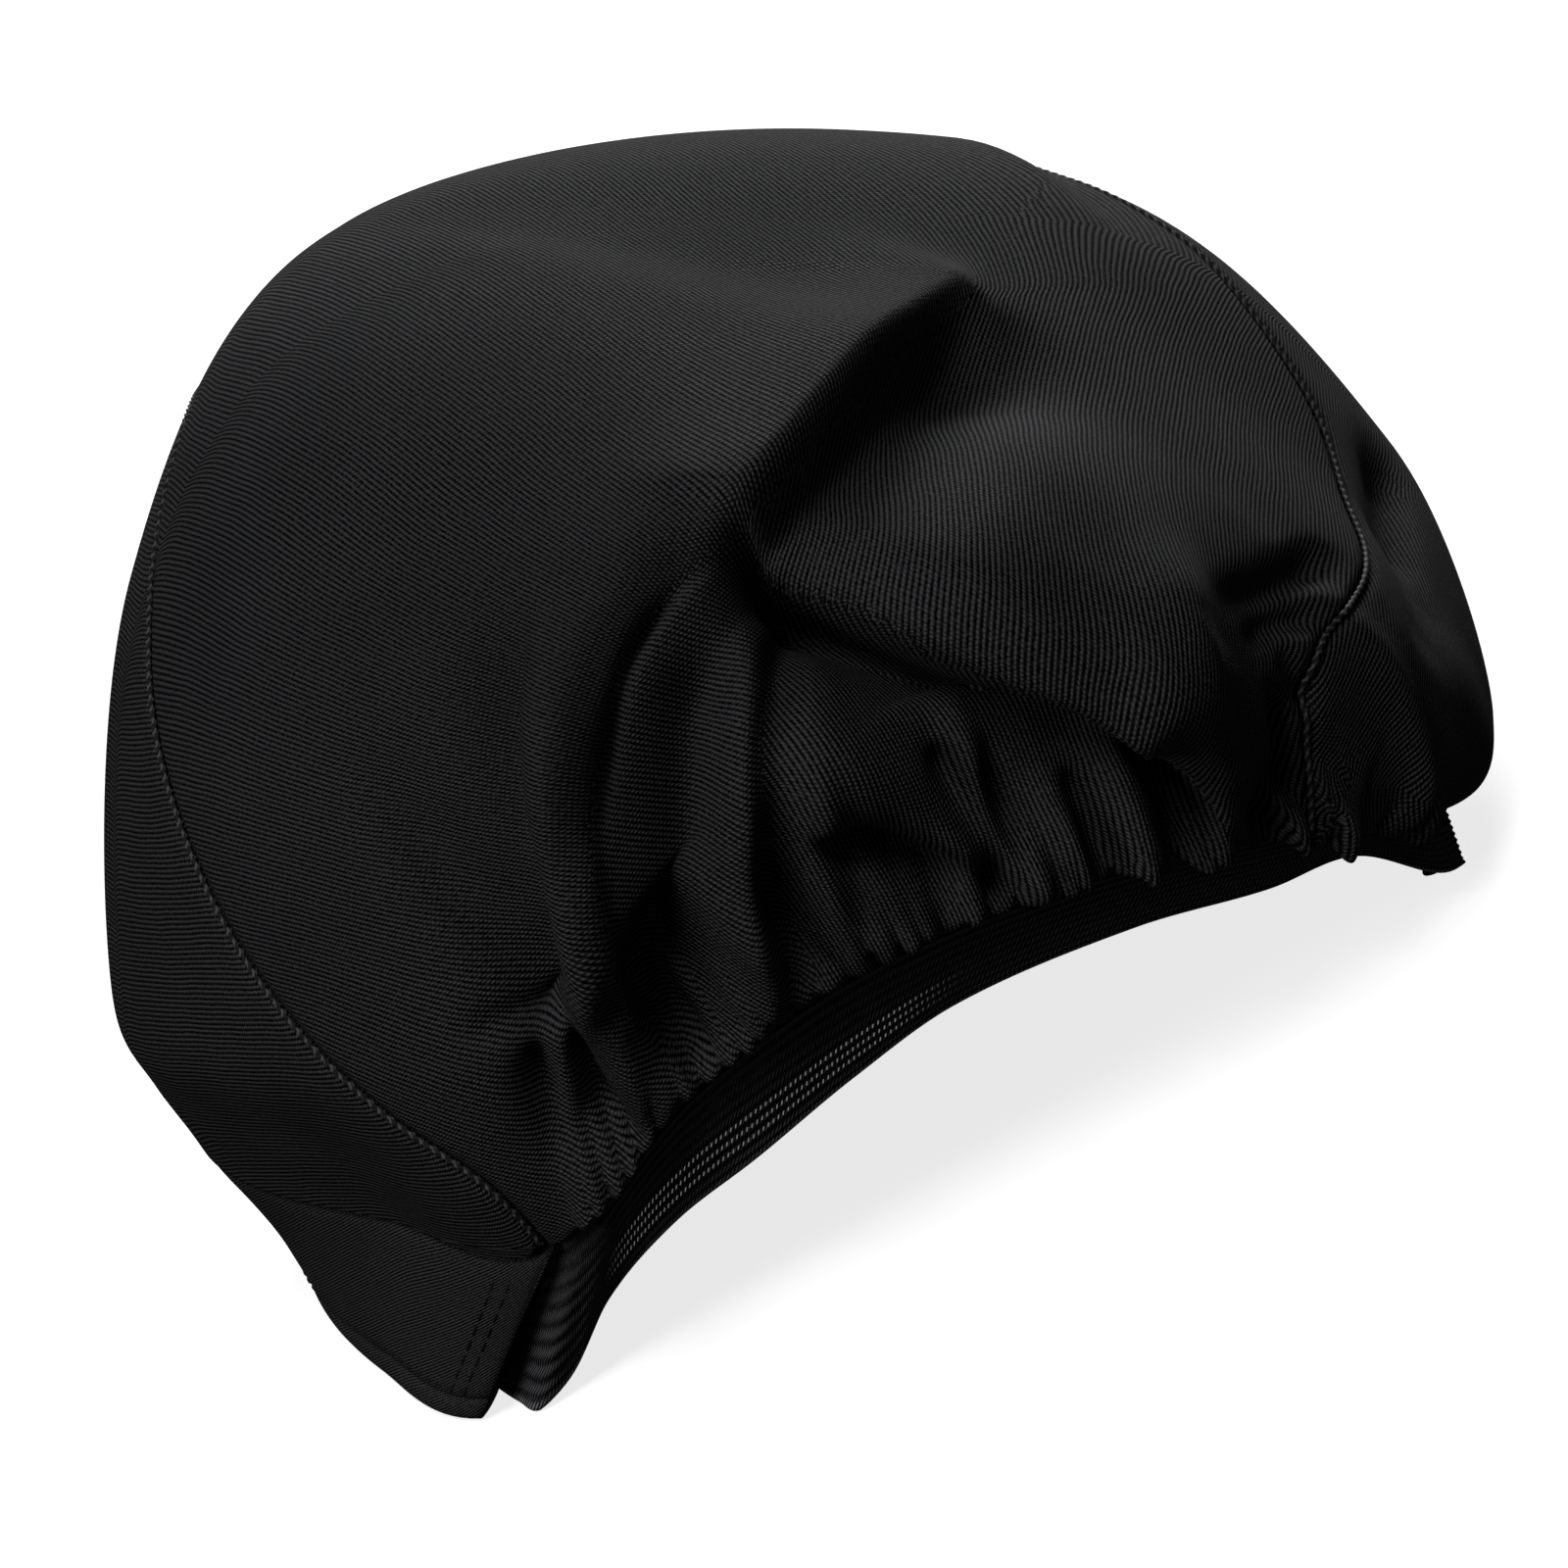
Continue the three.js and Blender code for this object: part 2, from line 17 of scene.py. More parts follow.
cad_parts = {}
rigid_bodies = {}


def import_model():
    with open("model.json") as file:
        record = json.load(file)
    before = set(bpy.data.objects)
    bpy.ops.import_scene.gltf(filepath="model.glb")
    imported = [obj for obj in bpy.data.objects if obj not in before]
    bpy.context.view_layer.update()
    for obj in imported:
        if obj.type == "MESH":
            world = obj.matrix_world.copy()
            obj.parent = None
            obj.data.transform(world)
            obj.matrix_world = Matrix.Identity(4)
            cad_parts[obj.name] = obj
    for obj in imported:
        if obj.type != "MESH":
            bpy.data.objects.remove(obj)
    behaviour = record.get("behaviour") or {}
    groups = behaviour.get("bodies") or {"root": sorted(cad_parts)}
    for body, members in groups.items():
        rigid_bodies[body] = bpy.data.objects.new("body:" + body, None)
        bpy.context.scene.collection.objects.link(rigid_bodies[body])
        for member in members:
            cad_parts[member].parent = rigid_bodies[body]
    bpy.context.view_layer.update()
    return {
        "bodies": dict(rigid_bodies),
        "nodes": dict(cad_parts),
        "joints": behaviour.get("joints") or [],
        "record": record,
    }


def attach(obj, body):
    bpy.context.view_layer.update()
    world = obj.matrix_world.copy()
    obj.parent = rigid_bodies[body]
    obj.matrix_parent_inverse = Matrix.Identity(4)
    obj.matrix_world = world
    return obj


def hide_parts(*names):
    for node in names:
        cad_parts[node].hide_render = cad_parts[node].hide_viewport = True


bl_info = {
    "name": "Skull Cap",
    "version": (1, 0, 0),
    "blender": (4, 5, 0),
    "location": "View3D > Sidebar > Skull Cap",
    "description": "Builds a soft twill skull cap, its stage and its camera",
    "category": "Add Mesh",
}

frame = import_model()

MM = 0.001

# The crown's own axis, from the middle of the cap's box
CAP_PLACE = np.array([1.395, 2.898, 0.0])

CLOTH = 1.4
BAND_CLOTH = 2.2
ELASTIC_CLOTH = 1.4
PIECE_GAP = 0.35
CROWN_HEIGHT = 141.0

RIM_CENTRE = (0.0, -20.0)
BELLY_CENTRE = (-2.0, -18.0)
SHOULDER_CENTRE = (8.0, -18.0)
APEX = (18.0, -16.0)
CENTRES = (RIM_CENTRE, RIM_CENTRE, RIM_CENTRE, BELLY_CENTRE, SHOULDER_CENTRE, APEX)
LEVELS = (0, 0.045, 0.09, 0.24, 0.56, 1)
TOP = len(LEVELS) - 1


def table(columns, rows):
    """Columns by name, as arrays."""
    values = np.array(rows, float)
    return {name: values[:, index] for index, name in enumerate(columns.split())}


# turn is in degrees from the nape towards the wearer's left
RIM_LINE = table("turn out up", [
    (-135, 82, 27),
    (-90, 95, 25),
    (-60, 101, 12),
    (-45, 107, 12),
    (-28, 108, 29),
    (-12, 105.5, 41),
    (6, 105, 46),
    (20, 107, 41),
    (36, 110, 26),
    (54, 100, 28),
    (90, 99.5, 30),
    (135, 85, 30),
    (180, 75, 29),
])

# The lip and the roll are measured from the rim line, the belly and the shoulder from the floor
CROWN_SECTIONS = table("turn lip_out lip_up roll_out roll_up belly_out belly_up shoulder_out shoulder_up", [
    (-135, 2, 4, 5, 10, 91, 56, 69, 106),
    (-90, 3.5, -6, 6.5, -3, 102, 40, 87, 97),
    (-60, 3, -6, 6, -2, 104, 37, 84, 93),
    (-45, 3.5, 0, 6.5, 5, 112, 42, 84, 96),
    (-28, 2.5, 3, 4.5, 10, 112, 60, 85.5, 107),
    (0, 1.5, 6.5, 3.5, 14, 110, 80, 86, 114),
    (36, 1.5, 5, 3.5, 14, 113, 63, 80, 112),
    (60, 0.5, 4.5, 2, 12.5, 105, 61, 72, 109),
    (90, 0.5, 5, 1.5, 13, 102, 57, 62, 109),
    (135, 1, 5, 3, 13, 91, 63, 55, 110),
    (180, 1, 5, 3, 13, 82, 61, 56, 108),
])

BAND_HEM = table("turn out", [
    (-135, 82),
    (-90, 92),
    (-62, 94),
    (-50, 99),
    (-45, 102.5),
    (45, 110),
    (52, 110),
    (66, 102),
    (90, 95),
    (135, 83),
    (180, 73),
])
ELASTIC_HEM = table("turn out up", [
    (-48, 106, 0),
    (-44, 105, 2),
    (-36, 103, 15),
    (-28, 100.5, 19.5),
    (-16, 98, 27),
    (0, 96, 31),
    (10, 96.5, 28.5),
    (20, 98.5, 24),
    (28, 100.5, 20),
    (36, 102.5, 12),
    (42, 105.5, 2),
    (44.5, 108.8, 0),
    (47.5, 106, 0),
    (51, 102.5, 0),
])

# How far the two seams lie from the middle of the disc, from the brow (-1) to the nape (1)
SEAMS = table("along left right", [
    (-1, 0.5, 0.5),
    (-0.5, 0.32, 0.44),
    (-0.05, 0.26, 0.48),
    (0.12, 0.36, 0.55),
    (0.3, 0.47, 0.6),
    (0.5, 0.54, 0.56),
    (0.72, 0.56, 0.445),
    (0.88, 0.545, 0.465),
    (1, 0.585, 0.485),
])

# Folds of the slack cloth: a path over the disc, how far it goes in (a ridge is below 0), the widths
# of its slopes left and right of the path, how far it leans to the left, and its fades at the ends.
FOLDS = [
    # crest that falls from the peak and goes on down the left lobe
    ([(-0.33, 0.19), (-0.27, 0.26), (-0.18, 0.38), (-0.1, 0.46), (-0.01, 0.51), (0.08, 0.54),
      (0.16, 0.58), (0.23, 0.64), (0.29, 0.69), (0.33, 0.77)], -3, 8, 16, 2, 0.05, 0.15),
    # long valley down the left lobe and the ridge that borders it
    ([(0.084, 0.456), (0.126, 0.492), (0.158, 0.518), (0.216, 0.574), (0.27, 0.632), (0.34, 0.71),
      (0.365, 0.8), (0.396, 0.85), (0.41, 0.9)], 5, 3, 8, 0, 0.25, 0.1),
    ([(0.11, 0.5), (0.16, 0.56), (0.22, 0.61), (0.28, 0.66), (0.33, 0.79), (0.34, 0.85), (0.345, 0.9)],
     -4, 5, 5, 0, 0.3, 0.15),
    # fine crease beside the left lobe
    ([(-0.06, 0.49), (0.01, 0.51), (0.07, 0.54), (0.11, 0.56), (0.16, 0.6), (0.21, 0.63), (0.25, 0.66),
      (0.31, 0.76), (0.33, 0.83), (0.335, 0.95)], 4.5, 2.0, 3.2, 0, 0.12, 0.08),
    # middle valley, the lit ridge to its right and the crease beyond
    ([(-0.01, 0.55), (0.066, 0.633), (0.135, 0.696), (0.195, 0.785), (0.27, 0.87), (0.3, 0.91)],
     10, 6.5, 7, 0, 0.25, 0.08),
    ([(-0.01, 0.58), (0.04, 0.67), (0.09, 0.75), (0.15, 0.83), (0.2, 0.93), (0.23, 0.94)],
     -5, 3.5, 6, 0, 0.3, 0.12),
    ([(-0.07, 0.57), (-0.045, 0.59), (0.02, 0.678), (0.072, 0.738), (0.12, 0.837), (0.144, 0.918),
      (0.17, 0.97)], 5.5, 4, 2.4, 0, 0.2, 0.08),
    # hollow of the left cheek, its crease, and short folds below it
    ([(0.27, 0.41), (0.29, 0.48), (0.31, 0.52), (0.33, 0.57), (0.345, 0.63), (0.36, 0.69), (0.37, 0.77)],
     5.5, 8, 4.5, 0, 0.4, 0.2),
    ([(0.42, 0.64), (0.395, 0.66), (0.375, 0.71), (0.37, 0.76)], 2.5, 2.5, 3, 0, 0.3, 0.2),
    ([(0.38, 0.715), (0.39, 0.78), (0.415, 0.815), (0.445, 0.83)], -3, 3, 3, 0, 0.3, 0.2),
    ([(0.4, 0.72), (0.425, 0.76), (0.44, 0.8), (0.465, 0.815)], 3.5, 3, 3.5, 0, 0.3, 0.2),
    ([(0.37, 0.785), (0.39, 0.815), (0.42, 0.83), (0.44, 0.845)], 4, 4, 3, 0, 0.3, 0.2),
    # upper right lobe and the floor of the recess that it hangs over
    ([(-0.1, 0.44), (-0.15, 0.51), (-0.18, 0.59), (-0.21, 0.65), (-0.26, 0.68), (-0.32, 0.72),
      (-0.39, 0.78)], -5, 24, 9, -3, 0.4, 0.25),
    ([(-0.06, 0.57), (-0.04, 0.65), (-0.06, 0.73), (-0.09, 0.81), (-0.15, 0.84), (-0.22, 0.85)],
     5, 10, 12, 0, 0.2, 0.3),
    # deep pocket right under the lobe's edge
    ([(-0.045, 0.515), (-0.068, 0.565), (-0.078, 0.63), (-0.105, 0.695), (-0.155, 0.75), (-0.21, 0.775)],
     8, 4.5, 6, 0, 0.2, 0.3),
    # broad fold that rises from the elastic into the recess, with the dark line under it
    ([(0.04, 0.72), (0.01, 0.78), (-0.06, 0.88), (-0.09, 0.93), (-0.11, 0.98)], -4.5, 4, 5, 0, 0.3, 0.1),
    ([(0.05, 0.85), (0.01, 0.89), (-0.03, 0.915), (-0.09, 0.95), (-0.12, 0.98)], 6, 2.6, 3.2, 0, 0.2, 0.1),
    # fan of gathers from the elastic
    ([(0.04, 0.72), (0.05, 0.8), (0.055, 0.87), (0.065, 0.93), (0.08, 0.97)], -4.2, 3, 3, 0, 0.3, 0.1),
    ([(0.06, 0.84), (0.05, 0.88), (0.055, 0.92), (0.065, 0.96)], 4.5, 2.2, 2.2, 0, 0.2, 0.1),
    ([(-0.11, 0.78), (-0.12, 0.83), (-0.12, 0.87), (-0.125, 0.91), (-0.14, 0.94), (-0.155, 0.97)],
     -4.6, 2.6, 2.6, 0, 0.2, 0.1),
    ([(-0.08, 0.83), (-0.1, 0.88), (-0.1, 0.92), (-0.12, 0.955)], 4.5, 2.2, 2.2, 0, 0.2, 0.1),
    ([(-0.135, 0.845), (-0.137, 0.895), (-0.145, 0.93)], 5, 2.5, 2.2, 0, 0.2, 0.2),
    ([(-0.195, 0.87), (-0.19, 0.91), (-0.2, 0.95)], -4, 3, 3, 0, 0.3, 0.1),
    ([(-0.225, 0.85), (-0.225, 0.9), (-0.235, 0.95)], 5, 2.4, 2.4, 0, 0.3, 0.1),
    ([(-0.25, 0.81), (-0.26, 0.86), (-0.27, 0.91), (-0.285, 0.95)], -4, 3, 3, 0, 0.3, 0.1),
    ([(-0.28, 0.775), (-0.315, 0.85), (-0.328, 0.92)], 8, 3.5, 3.2, 0, 0.2, 0.15),
    ([(-0.34, 0.84), (-0.36, 0.88), (-0.37, 0.92)], -4, 3, 3, 0, 0.3, 0.1),
    # ridge and valleys that run down to the elastic beside the right seam, and dents above them
    ([(-0.34, 0.55), (-0.315, 0.62), (-0.3, 0.7), (-0.34, 0.78), (-0.395, 0.89)], -4, 5, 8, 0, 0.3, 0.2),
    ([(-0.415, 0.8), (-0.426, 0.85), (-0.44, 0.89)], 7, 3, 3, 0, 0.3, 0.15),
    ([(-0.435, 0.815), (-0.44, 0.84), (-0.48, 0.875)], -2.5, 3, 3, 0, 0.3, 0.2),
    ([(-0.4, 0.7), (-0.425, 0.745), (-0.446, 0.785), (-0.46, 0.83)], 6, 2.6, 2.6, 0, 0.3, 0.15),
    ([(-0.35, 0.62), (-0.405, 0.575), (-0.45, 0.52), (-0.49, 0.48)], 3.8, 2.2, 3.4, 0, 0.3, 0.3),
    ([(-0.37, 0.66), (-0.42, 0.605), (-0.46, 0.575)], 3, 1.9, 2.8, 0, 0.25, 0.3),
    ([(-0.405, 0.65), (-0.43, 0.68), (-0.45, 0.72)], 2.5, 2, 2, 0, 0.3, 0.3),
    # hollow in the right side panel and the finer valley in it
    ([(-0.72, 0.15), (-0.68, 0.26), (-0.65, 0.35), (-0.61, 0.43)], 4, 4.5, 6, 0, 0.35, 0.3),
    ([(-0.66, 0.38), (-0.6, 0.49), (-0.56, 0.58)], 2, 7, 6, 0, 0.35, 0.35),
]

# Edges where one layer of slack cloth stands over the next: a path with the high side at its left, the
# rise of that side and its width, the drop of the other side and its width, how far the edge hangs over
# the low side, how soft the edge is, and its fades at the ends.
EDGES = [
    # the upper right lobe over the recess
    ([(-0.06, 0.485), (-0.075, 0.51), (-0.095, 0.56), (-0.105, 0.61), (-0.135, 0.68), (-0.18, 0.725),
      (-0.225, 0.745), (-0.275, 0.785), (-0.33, 0.82), (-0.365, 0.89)],
     2.5, 12, 9, 14, 4.5, 1.6, 0.12, 0.3),
    # the crest that falls from the peak, over the hollow at its right
    ([(-0.02, 0.51), (-0.07, 0.48), (-0.1, 0.46), (-0.18, 0.38), (-0.27, 0.26), (-0.33, 0.19)],
     2.5, 12, 11, 20, 1.0, 3.0, 0.2, 0.25),
    # the centre panel over the right side panel, at the top
    ([(-0.46, 0.16), (-0.43, 0.05), (-0.42, -0.05), (-0.42, -0.15)],
     0.8, 14, 2.0, 18, 0.5, 6.0, 0.4, 0.4),
    # the left lobe over the middle folds
    ([(0.336, 0.97), (0.336, 0.885), (0.318, 0.83), (0.285, 0.732), (0.25, 0.675), (0.2, 0.628),
      (0.15, 0.59), (0.1, 0.556), (0.066, 0.536), (0.024, 0.518), (-0.05, 0.5)],
     1.5, 6, 4, 8, 1.0, 1.4, 0.08, 0.2),
    # the left lobe over the cheek
    ([(0.084, 0.456), (0.126, 0.492), (0.158, 0.518), (0.216, 0.574), (0.27, 0.632), (0.34, 0.71),
      (0.365, 0.8), (0.396, 0.85), (0.41, 0.9)],
     2.5, 7, 4, 11, 1.2, 1.6, 0.3, 0.1),
]
PATH_STEPS = 28
FOOT_SOFTNESS = 5.0
HAND_BLEND = 5.0

# Gathers where the slack cloth is sewn to the stretched elastic: how many, between which turns, how far
# out and how wide, how far up the disc, how far out of step, and how they lean on their way up
GATHER_COUNT = 13
GATHER_FROM = -43.0
GATHER_TO = 35.0
GATHER_OUT = 3.3
GATHER_WIDTH = 1.7
GATHER_REACH = 0.12
GATHER_SHIFT = 0.22
GATHER_DRIFT = 40
# Pleats at the stitching itself, between the same turns
PLEAT_COUNT = 41
PLEAT_OUT = 2.8
PLEAT_REACH = 0.05
PLEAT_ROUND = 0.92
PLEAT_SHIFT = 0.3
PLEAT_DRIFT = 14

# On the disc: the step that a slope is measured over, how near its rim the panels come, and how far
# they stop short of a seam. In millimetres: the cloth turned in at a seam, and the groove beside it.
NUDGE = 0.004
RIM_REACH = 0.997
SEAM_INSET = 0.0008
SEAM_ALLOWANCE = 2.5
GROOVE_DEPTH = 0.9
GROOVE_WIDTH = 1.3

# How much of the folds the flat pattern follows, and how it is relaxed: the share of each pull that is
# taken in a round, the steps of the coarse grids that it starts on, and the rounds
FLAT_SHARE = 0.7
PULL_SHARE = 0.12
COARSE_STEPS = (12, 4)
COARSE_ROUNDS = 260
FINE_ROUNDS = 120
CALM_ROUNDS = 40
# How much of the way out and of the way down counts in a side panel's first flat places
SIDE_SPREAD = (0.7, 0.9)


def smoothstep(value, low, high):
    """0 up to low, 1 from high, and smooth between them."""
    share = np.clip((value - low) / (high - low), 0, 1)
    return share * share * (3 - 2 * share)


def unit(vectors):
    """Vectors brought to a length of 1."""
    return vectors / np.maximum(np.linalg.norm(vectors, axis=-1, keepdims=True), 1e-9)


def cubic(start, stop, start_slope, stop_slope, span, u):
    """Between two values with a slope at each, at a share u of the span."""
    v = 1 - u
    return (start * v * v * (1 + 2 * u) + stop * u * u * (3 - 2 * u)
            + span * (start_slope * u * v * v - stop_slope * u * u * v))


def smooth_curve(keys, values, period=0.0):
    """A function through the values, by cubic pieces with averaged slopes."""
    keys = np.asarray(keys, float)
    values = np.asarray(values, float)
    if period:
        keys = np.concatenate([[keys[-1] - period], keys, keys[:2] + period])
        values = np.concatenate([values[-1:], values, values[:2]])
    rises = np.diff(values, axis=0) / np.diff(keys).reshape((-1,) + (1,) * (values.ndim - 1))
    slopes = np.concatenate([rises[:1], (rises[:-1] + rises[1:]) / 2, rises[-1:]])

    def at(place):
        place = np.asarray(place, float)
        if period:
            place = np.mod(place - keys[0], period) + keys[0]
        i = np.clip(np.searchsorted(keys, place) - 1, 0, len(keys) - 2)
        span = keys[i + 1] - keys[i]
        u = np.clip((place - keys[i]) / span, 0, 1)
        if values.ndim > 1:
            span = span[..., None]
            u = u[..., None]
        return cubic(values[i], values[i + 1], slopes[i], slopes[i + 1], span, u)

    return at


rim_out = smooth_curve(RIM_LINE["turn"], RIM_LINE["out"], 360)
rim_up = smooth_curve(RIM_LINE["turn"], RIM_LINE["up"], 360)
section = {
    name: smooth_curve(CROWN_SECTIONS["turn"], values, 360)
    for name, values in CROWN_SECTIONS.items() if name != "turn"
}
band_hem = smooth_curve(BAND_HEM["turn"], BAND_HEM["out"], 360)
elastic_hem_out = smooth_curve(ELASTIC_HEM["turn"], ELASTIC_HEM["out"])
elastic_hem_up = smooth_curve(ELASTIC_HEM["turn"], ELASTIC_HEM["up"])
left_seam = smooth_curve(SEAMS["along"], SEAMS["left"])
right_seam = smooth_curve(SEAMS["along"], SEAMS["right"])


def through_levels(values, end_slope, t):
    """Cubic through the levels of the crown, with a given slope at its highest point."""
    values = [np.broadcast_to(value, t.shape) for value in values]
    rises = [(values[k + 1] - values[k]) / (LEVELS[k + 1] - LEVELS[k]) for k in range(TOP)]
    slopes = [rises[0]] + [(rises[k - 1] + rises[k]) / 2 for k in range(1, TOP)] + [end_slope]
    result = np.zeros(t.shape)
    for i in range(TOP):
        span = LEVELS[i + 1] - LEVELS[i]
        u = np.clip((t - LEVELS[i]) / span, 0, 1)
        piece = cubic(values[i], values[i + 1], slopes[i], slopes[i + 1], span, u)
        result = np.where((t > LEVELS[i]) | (i == 0), piece, result)
    return result


def smooth_crown(places):
    """The crown without its folds, at places on the disc."""
    side = places[..., 0]
    back = places[..., 1]
    t = 1 - np.minimum(1, np.hypot(side, back))
    turn = np.degrees(np.arctan2(side, back))
    edge_out = rim_out(turn)
    edge_up = rim_up(turn)
    shoulder = section["shoulder_out"](turn)
    out = [edge_out, edge_out + section["lip_out"](turn), edge_out + section["roll_out"](turn),
           section["belly_out"](turn), shoulder, 0.0]
    up = [edge_up, edge_up + section["lip_up"](turn), edge_up + section["roll_up"](turn),
          section["belly_up"](turn), section["shoulder_up"](turn), CROWN_HEIGHT]
    r = through_levels(out, -shoulder / (1 - LEVELS[TOP - 1]), t)
    z = through_levels(up, 0.0, t)
    centre_x = through_levels([centre[0] for centre in CENTRES], 0.0, t)
    centre_y = through_levels([centre[1] for centre in CENTRES], 0.0, t)
    angle = np.radians(turn)
    return np.stack([centre_x + r * np.sin(angle), centre_y + r * np.cos(angle), z], -1)


def outward_normal(surface, places):
    """The way straight out of a surface, at places on the disc."""
    step_side = np.array([NUDGE, 0.0])
    step_back = np.array([0.0, NUDGE])
    along_side = surface(places + step_side) - surface(places - step_side)
    along_back = surface(places + step_back) - surface(places - step_back)
    return unit(np.cross(along_side, along_back))


def fold_frame(fold):
    """Points of a fold's path on the smooth crown, and the way to its left at each."""
    path = np.array(fold[0], float)
    steps = np.linspace(0, len(path) - 1, PATH_STEPS + 1)
    places = smooth_curve(np.arange(len(path)), path)(steps)
    points = smooth_crown(places)
    after = np.concatenate([points[1:], points[-1:]])
    before = np.concatenate([points[:1], points[:-1]])
    return points, unit(np.cross(outward_normal(smooth_crown, places), after - before))


FOLD_FRAMES = [fold_frame(fold) for fold in FOLDS]
EDGE_FRAMES = [fold_frame(edge) for edge in EDGES]


def beside_path(frame, point, softness):
    """For points near a path: the square of their distance, the distance to its left, the way to its
    left, and how far along it they are."""
    points, leftwards = frame
    squares = ((point[:, None, :] - points[None]) ** 2).sum(-1)
    weight = np.exp((squares.min(1, keepdims=True) - squares) / (2 * softness ** 2))
    weight /= weight.sum(1, keepdims=True)
    leftward = unit(weight @ leftwards)
    away = point - weight @ points
    share = weight @ np.linspace(0, 1, PATH_STEPS + 1)
    return (away ** 2).sum(-1), (away * leftward).sum(-1), leftward, share


def fold_shift(fold, frame, point, normal):
    """How far a fold moves points of the smooth crown, out along the normal and over to one side."""
    deep, left, right, lean, fade_in, fade_out = fold[1:]
    blend = min(HAND_BLEND, left, right)
    square, to_left, leftward, share = beside_path(frame, point, min(FOOT_SOFTNESS, 1.5 * blend))
    width = right + (left - right) * smoothstep(to_left, -blend, blend)
    strength = (np.exp(-square / width ** 2)
                * smoothstep(share, 0, fade_in) * smoothstep(1 - share, 0, fade_out))[:, None]
    return normal * (-deep * strength) + leftward * (lean * strength)


def edge_shift(edge, frame, point, normal):
    """How far points move where one layer stands over the next."""
    rise, rise_width, drop, drop_width, over, soft, fade_in, fade_out = edge[1:]
    square, to_left, leftward, share = beside_path(frame, point, FOOT_SOFTNESS)
    high = smoothstep(to_left, -soft, soft)
    up = rise * np.exp(-square / rise_width ** 2) * high
    down = drop * np.exp(-square / drop_width ** 2) * (1 - high)
    hang = over * np.exp(-square / (3 * soft) ** 2) * high
    strength = smoothstep(share, 0, fade_in) * smoothstep(1 - share, 0, fade_out)
    return normal * ((up - down) * strength)[:, None] - leftward * (hang * strength)[:, None]


def gather_out(turn, t):
    """Broad gathers. Sines of their number make them uneven in place, length and lean."""
    pitch = (GATHER_TO - GATHER_FROM) / GATHER_COUNT
    out = np.zeros(t.shape)
    for i in range(GATHER_COUNT):
        middle = GATHER_FROM + pitch * (i + 0.5 + GATHER_SHIFT * math.sin(2.4 * i))
        reach = GATHER_REACH * (1.3 + 0.5 * math.sin(1.7 * i + 1))
        drift = GATHER_DRIFT * t * math.sin(0.9 * i)
        out += (GATHER_OUT * np.exp(-((turn - middle - drift) / GATHER_WIDTH) ** 2)
                * smoothstep(t, 0, 0.025) * np.exp(-(t / reach) ** 2))
    return out


def pleat_out(turn, t):
    """Small pleats at the stitching, round-topped with sharp valleys. Sines make them uneven."""
    place = PLEAT_COUNT * (turn - GATHER_FROM) / (GATHER_TO - GATHER_FROM)
    place = place + PLEAT_SHIFT * np.sin(0.83 * place) + t * PLEAT_DRIFT * np.sin(0.37 * place + 0.6)
    number = np.floor(place)
    across = 2 * (place - number) - 1
    top = np.sqrt(1 - PLEAT_ROUND * across ** 2)
    low = math.sqrt(1 - PLEAT_ROUND)
    size = PLEAT_OUT * (1 + 0.35 * np.sin(5.3 * number))
    reach = PLEAT_REACH * (1 + 0.45 * np.sin(2.9 * number))
    inside = smoothstep(place, 0, 2) * smoothstep(PLEAT_COUNT - place, 0, 2)
    return (size * (top - low) / (1 - low) * inside
            * (0.45 + 0.55 * smoothstep(t, 0, 0.014)) * np.exp(-(t / reach) ** 2))


def crown(places):
    """The folded crown, in millimetres, at places on the disc."""
    shape = places.shape[:-1]
    places = places.reshape(-1, 2)
    point = smooth_crown(places)
    normal = outward_normal(smooth_crown, places)
    moved = point.copy()
    t = 1 - np.minimum(1, np.hypot(places[:, 0], places[:, 1]))
    hold = smoothstep(t, 0, 0.03)[:, None]
    for fold, frame in zip(FOLDS, FOLD_FRAMES):
        moved += fold_shift(fold, frame, point, normal) * hold
    for edge, frame in zip(EDGES, EDGE_FRAMES):
        moved += edge_shift(edge, frame, point, normal) * hold
    turn = np.degrees(np.arctan2(places[:, 0], places[:, 1]))
    moved += normal * (gather_out(turn, t) + pleat_out(turn, t))[:, None]
    return moved.reshape(shape + (3,))


def centre_place(across, along):
    """A place on the disc from how far along the centre panel it is, and where between the seams."""
    side = -right_seam(along) * (1 - across) + left_seam(along) * across
    return np.stack([side, along * np.sqrt(1 - side * side)], -1) * RIM_REACH


def zones(start, stops):
    """Steps from start through each stop, as many in each zone as it is given."""
    steps = [start]
    for stop, count in stops:
        steps.extend(np.linspace(steps[-1], stop, count + 1)[1:])
    return np.array(steps)


def relaxed_flat(points, flat, rounds):
    """The cloth's flat pattern: flat places moved until their distances match those on the cloth."""
    rows, columns = points.shape[:2]
    everywhere = slice(None)
    pairs = [
        ((slice(0, rows - 1), everywhere), (slice(1, rows), everywhere)),
        ((everywhere, slice(0, columns - 1)), (everywhere, slice(1, columns))),
        ((slice(0, rows - 1), slice(0, columns - 1)), (slice(1, rows), slice(1, columns))),
        ((slice(0, rows - 1), slice(1, columns)), (slice(1, rows), slice(0, columns - 1))),
    ]
    lengths = [np.linalg.norm(points[b] - points[a], axis=-1) for a, b in pairs]
    flat = flat.copy()
    for _ in range(rounds):
        move = np.zeros(flat.shape)
        for (a, b), length in zip(pairs, lengths):
            gap = flat[b] - flat[a]
            size = np.maximum(np.linalg.norm(gap, axis=-1), 1e-6)
            pull = gap * ((size - length) / size)[..., None]
            move[a] += pull
            move[b] -= pull
        flat += move * PULL_SHARE
    return flat


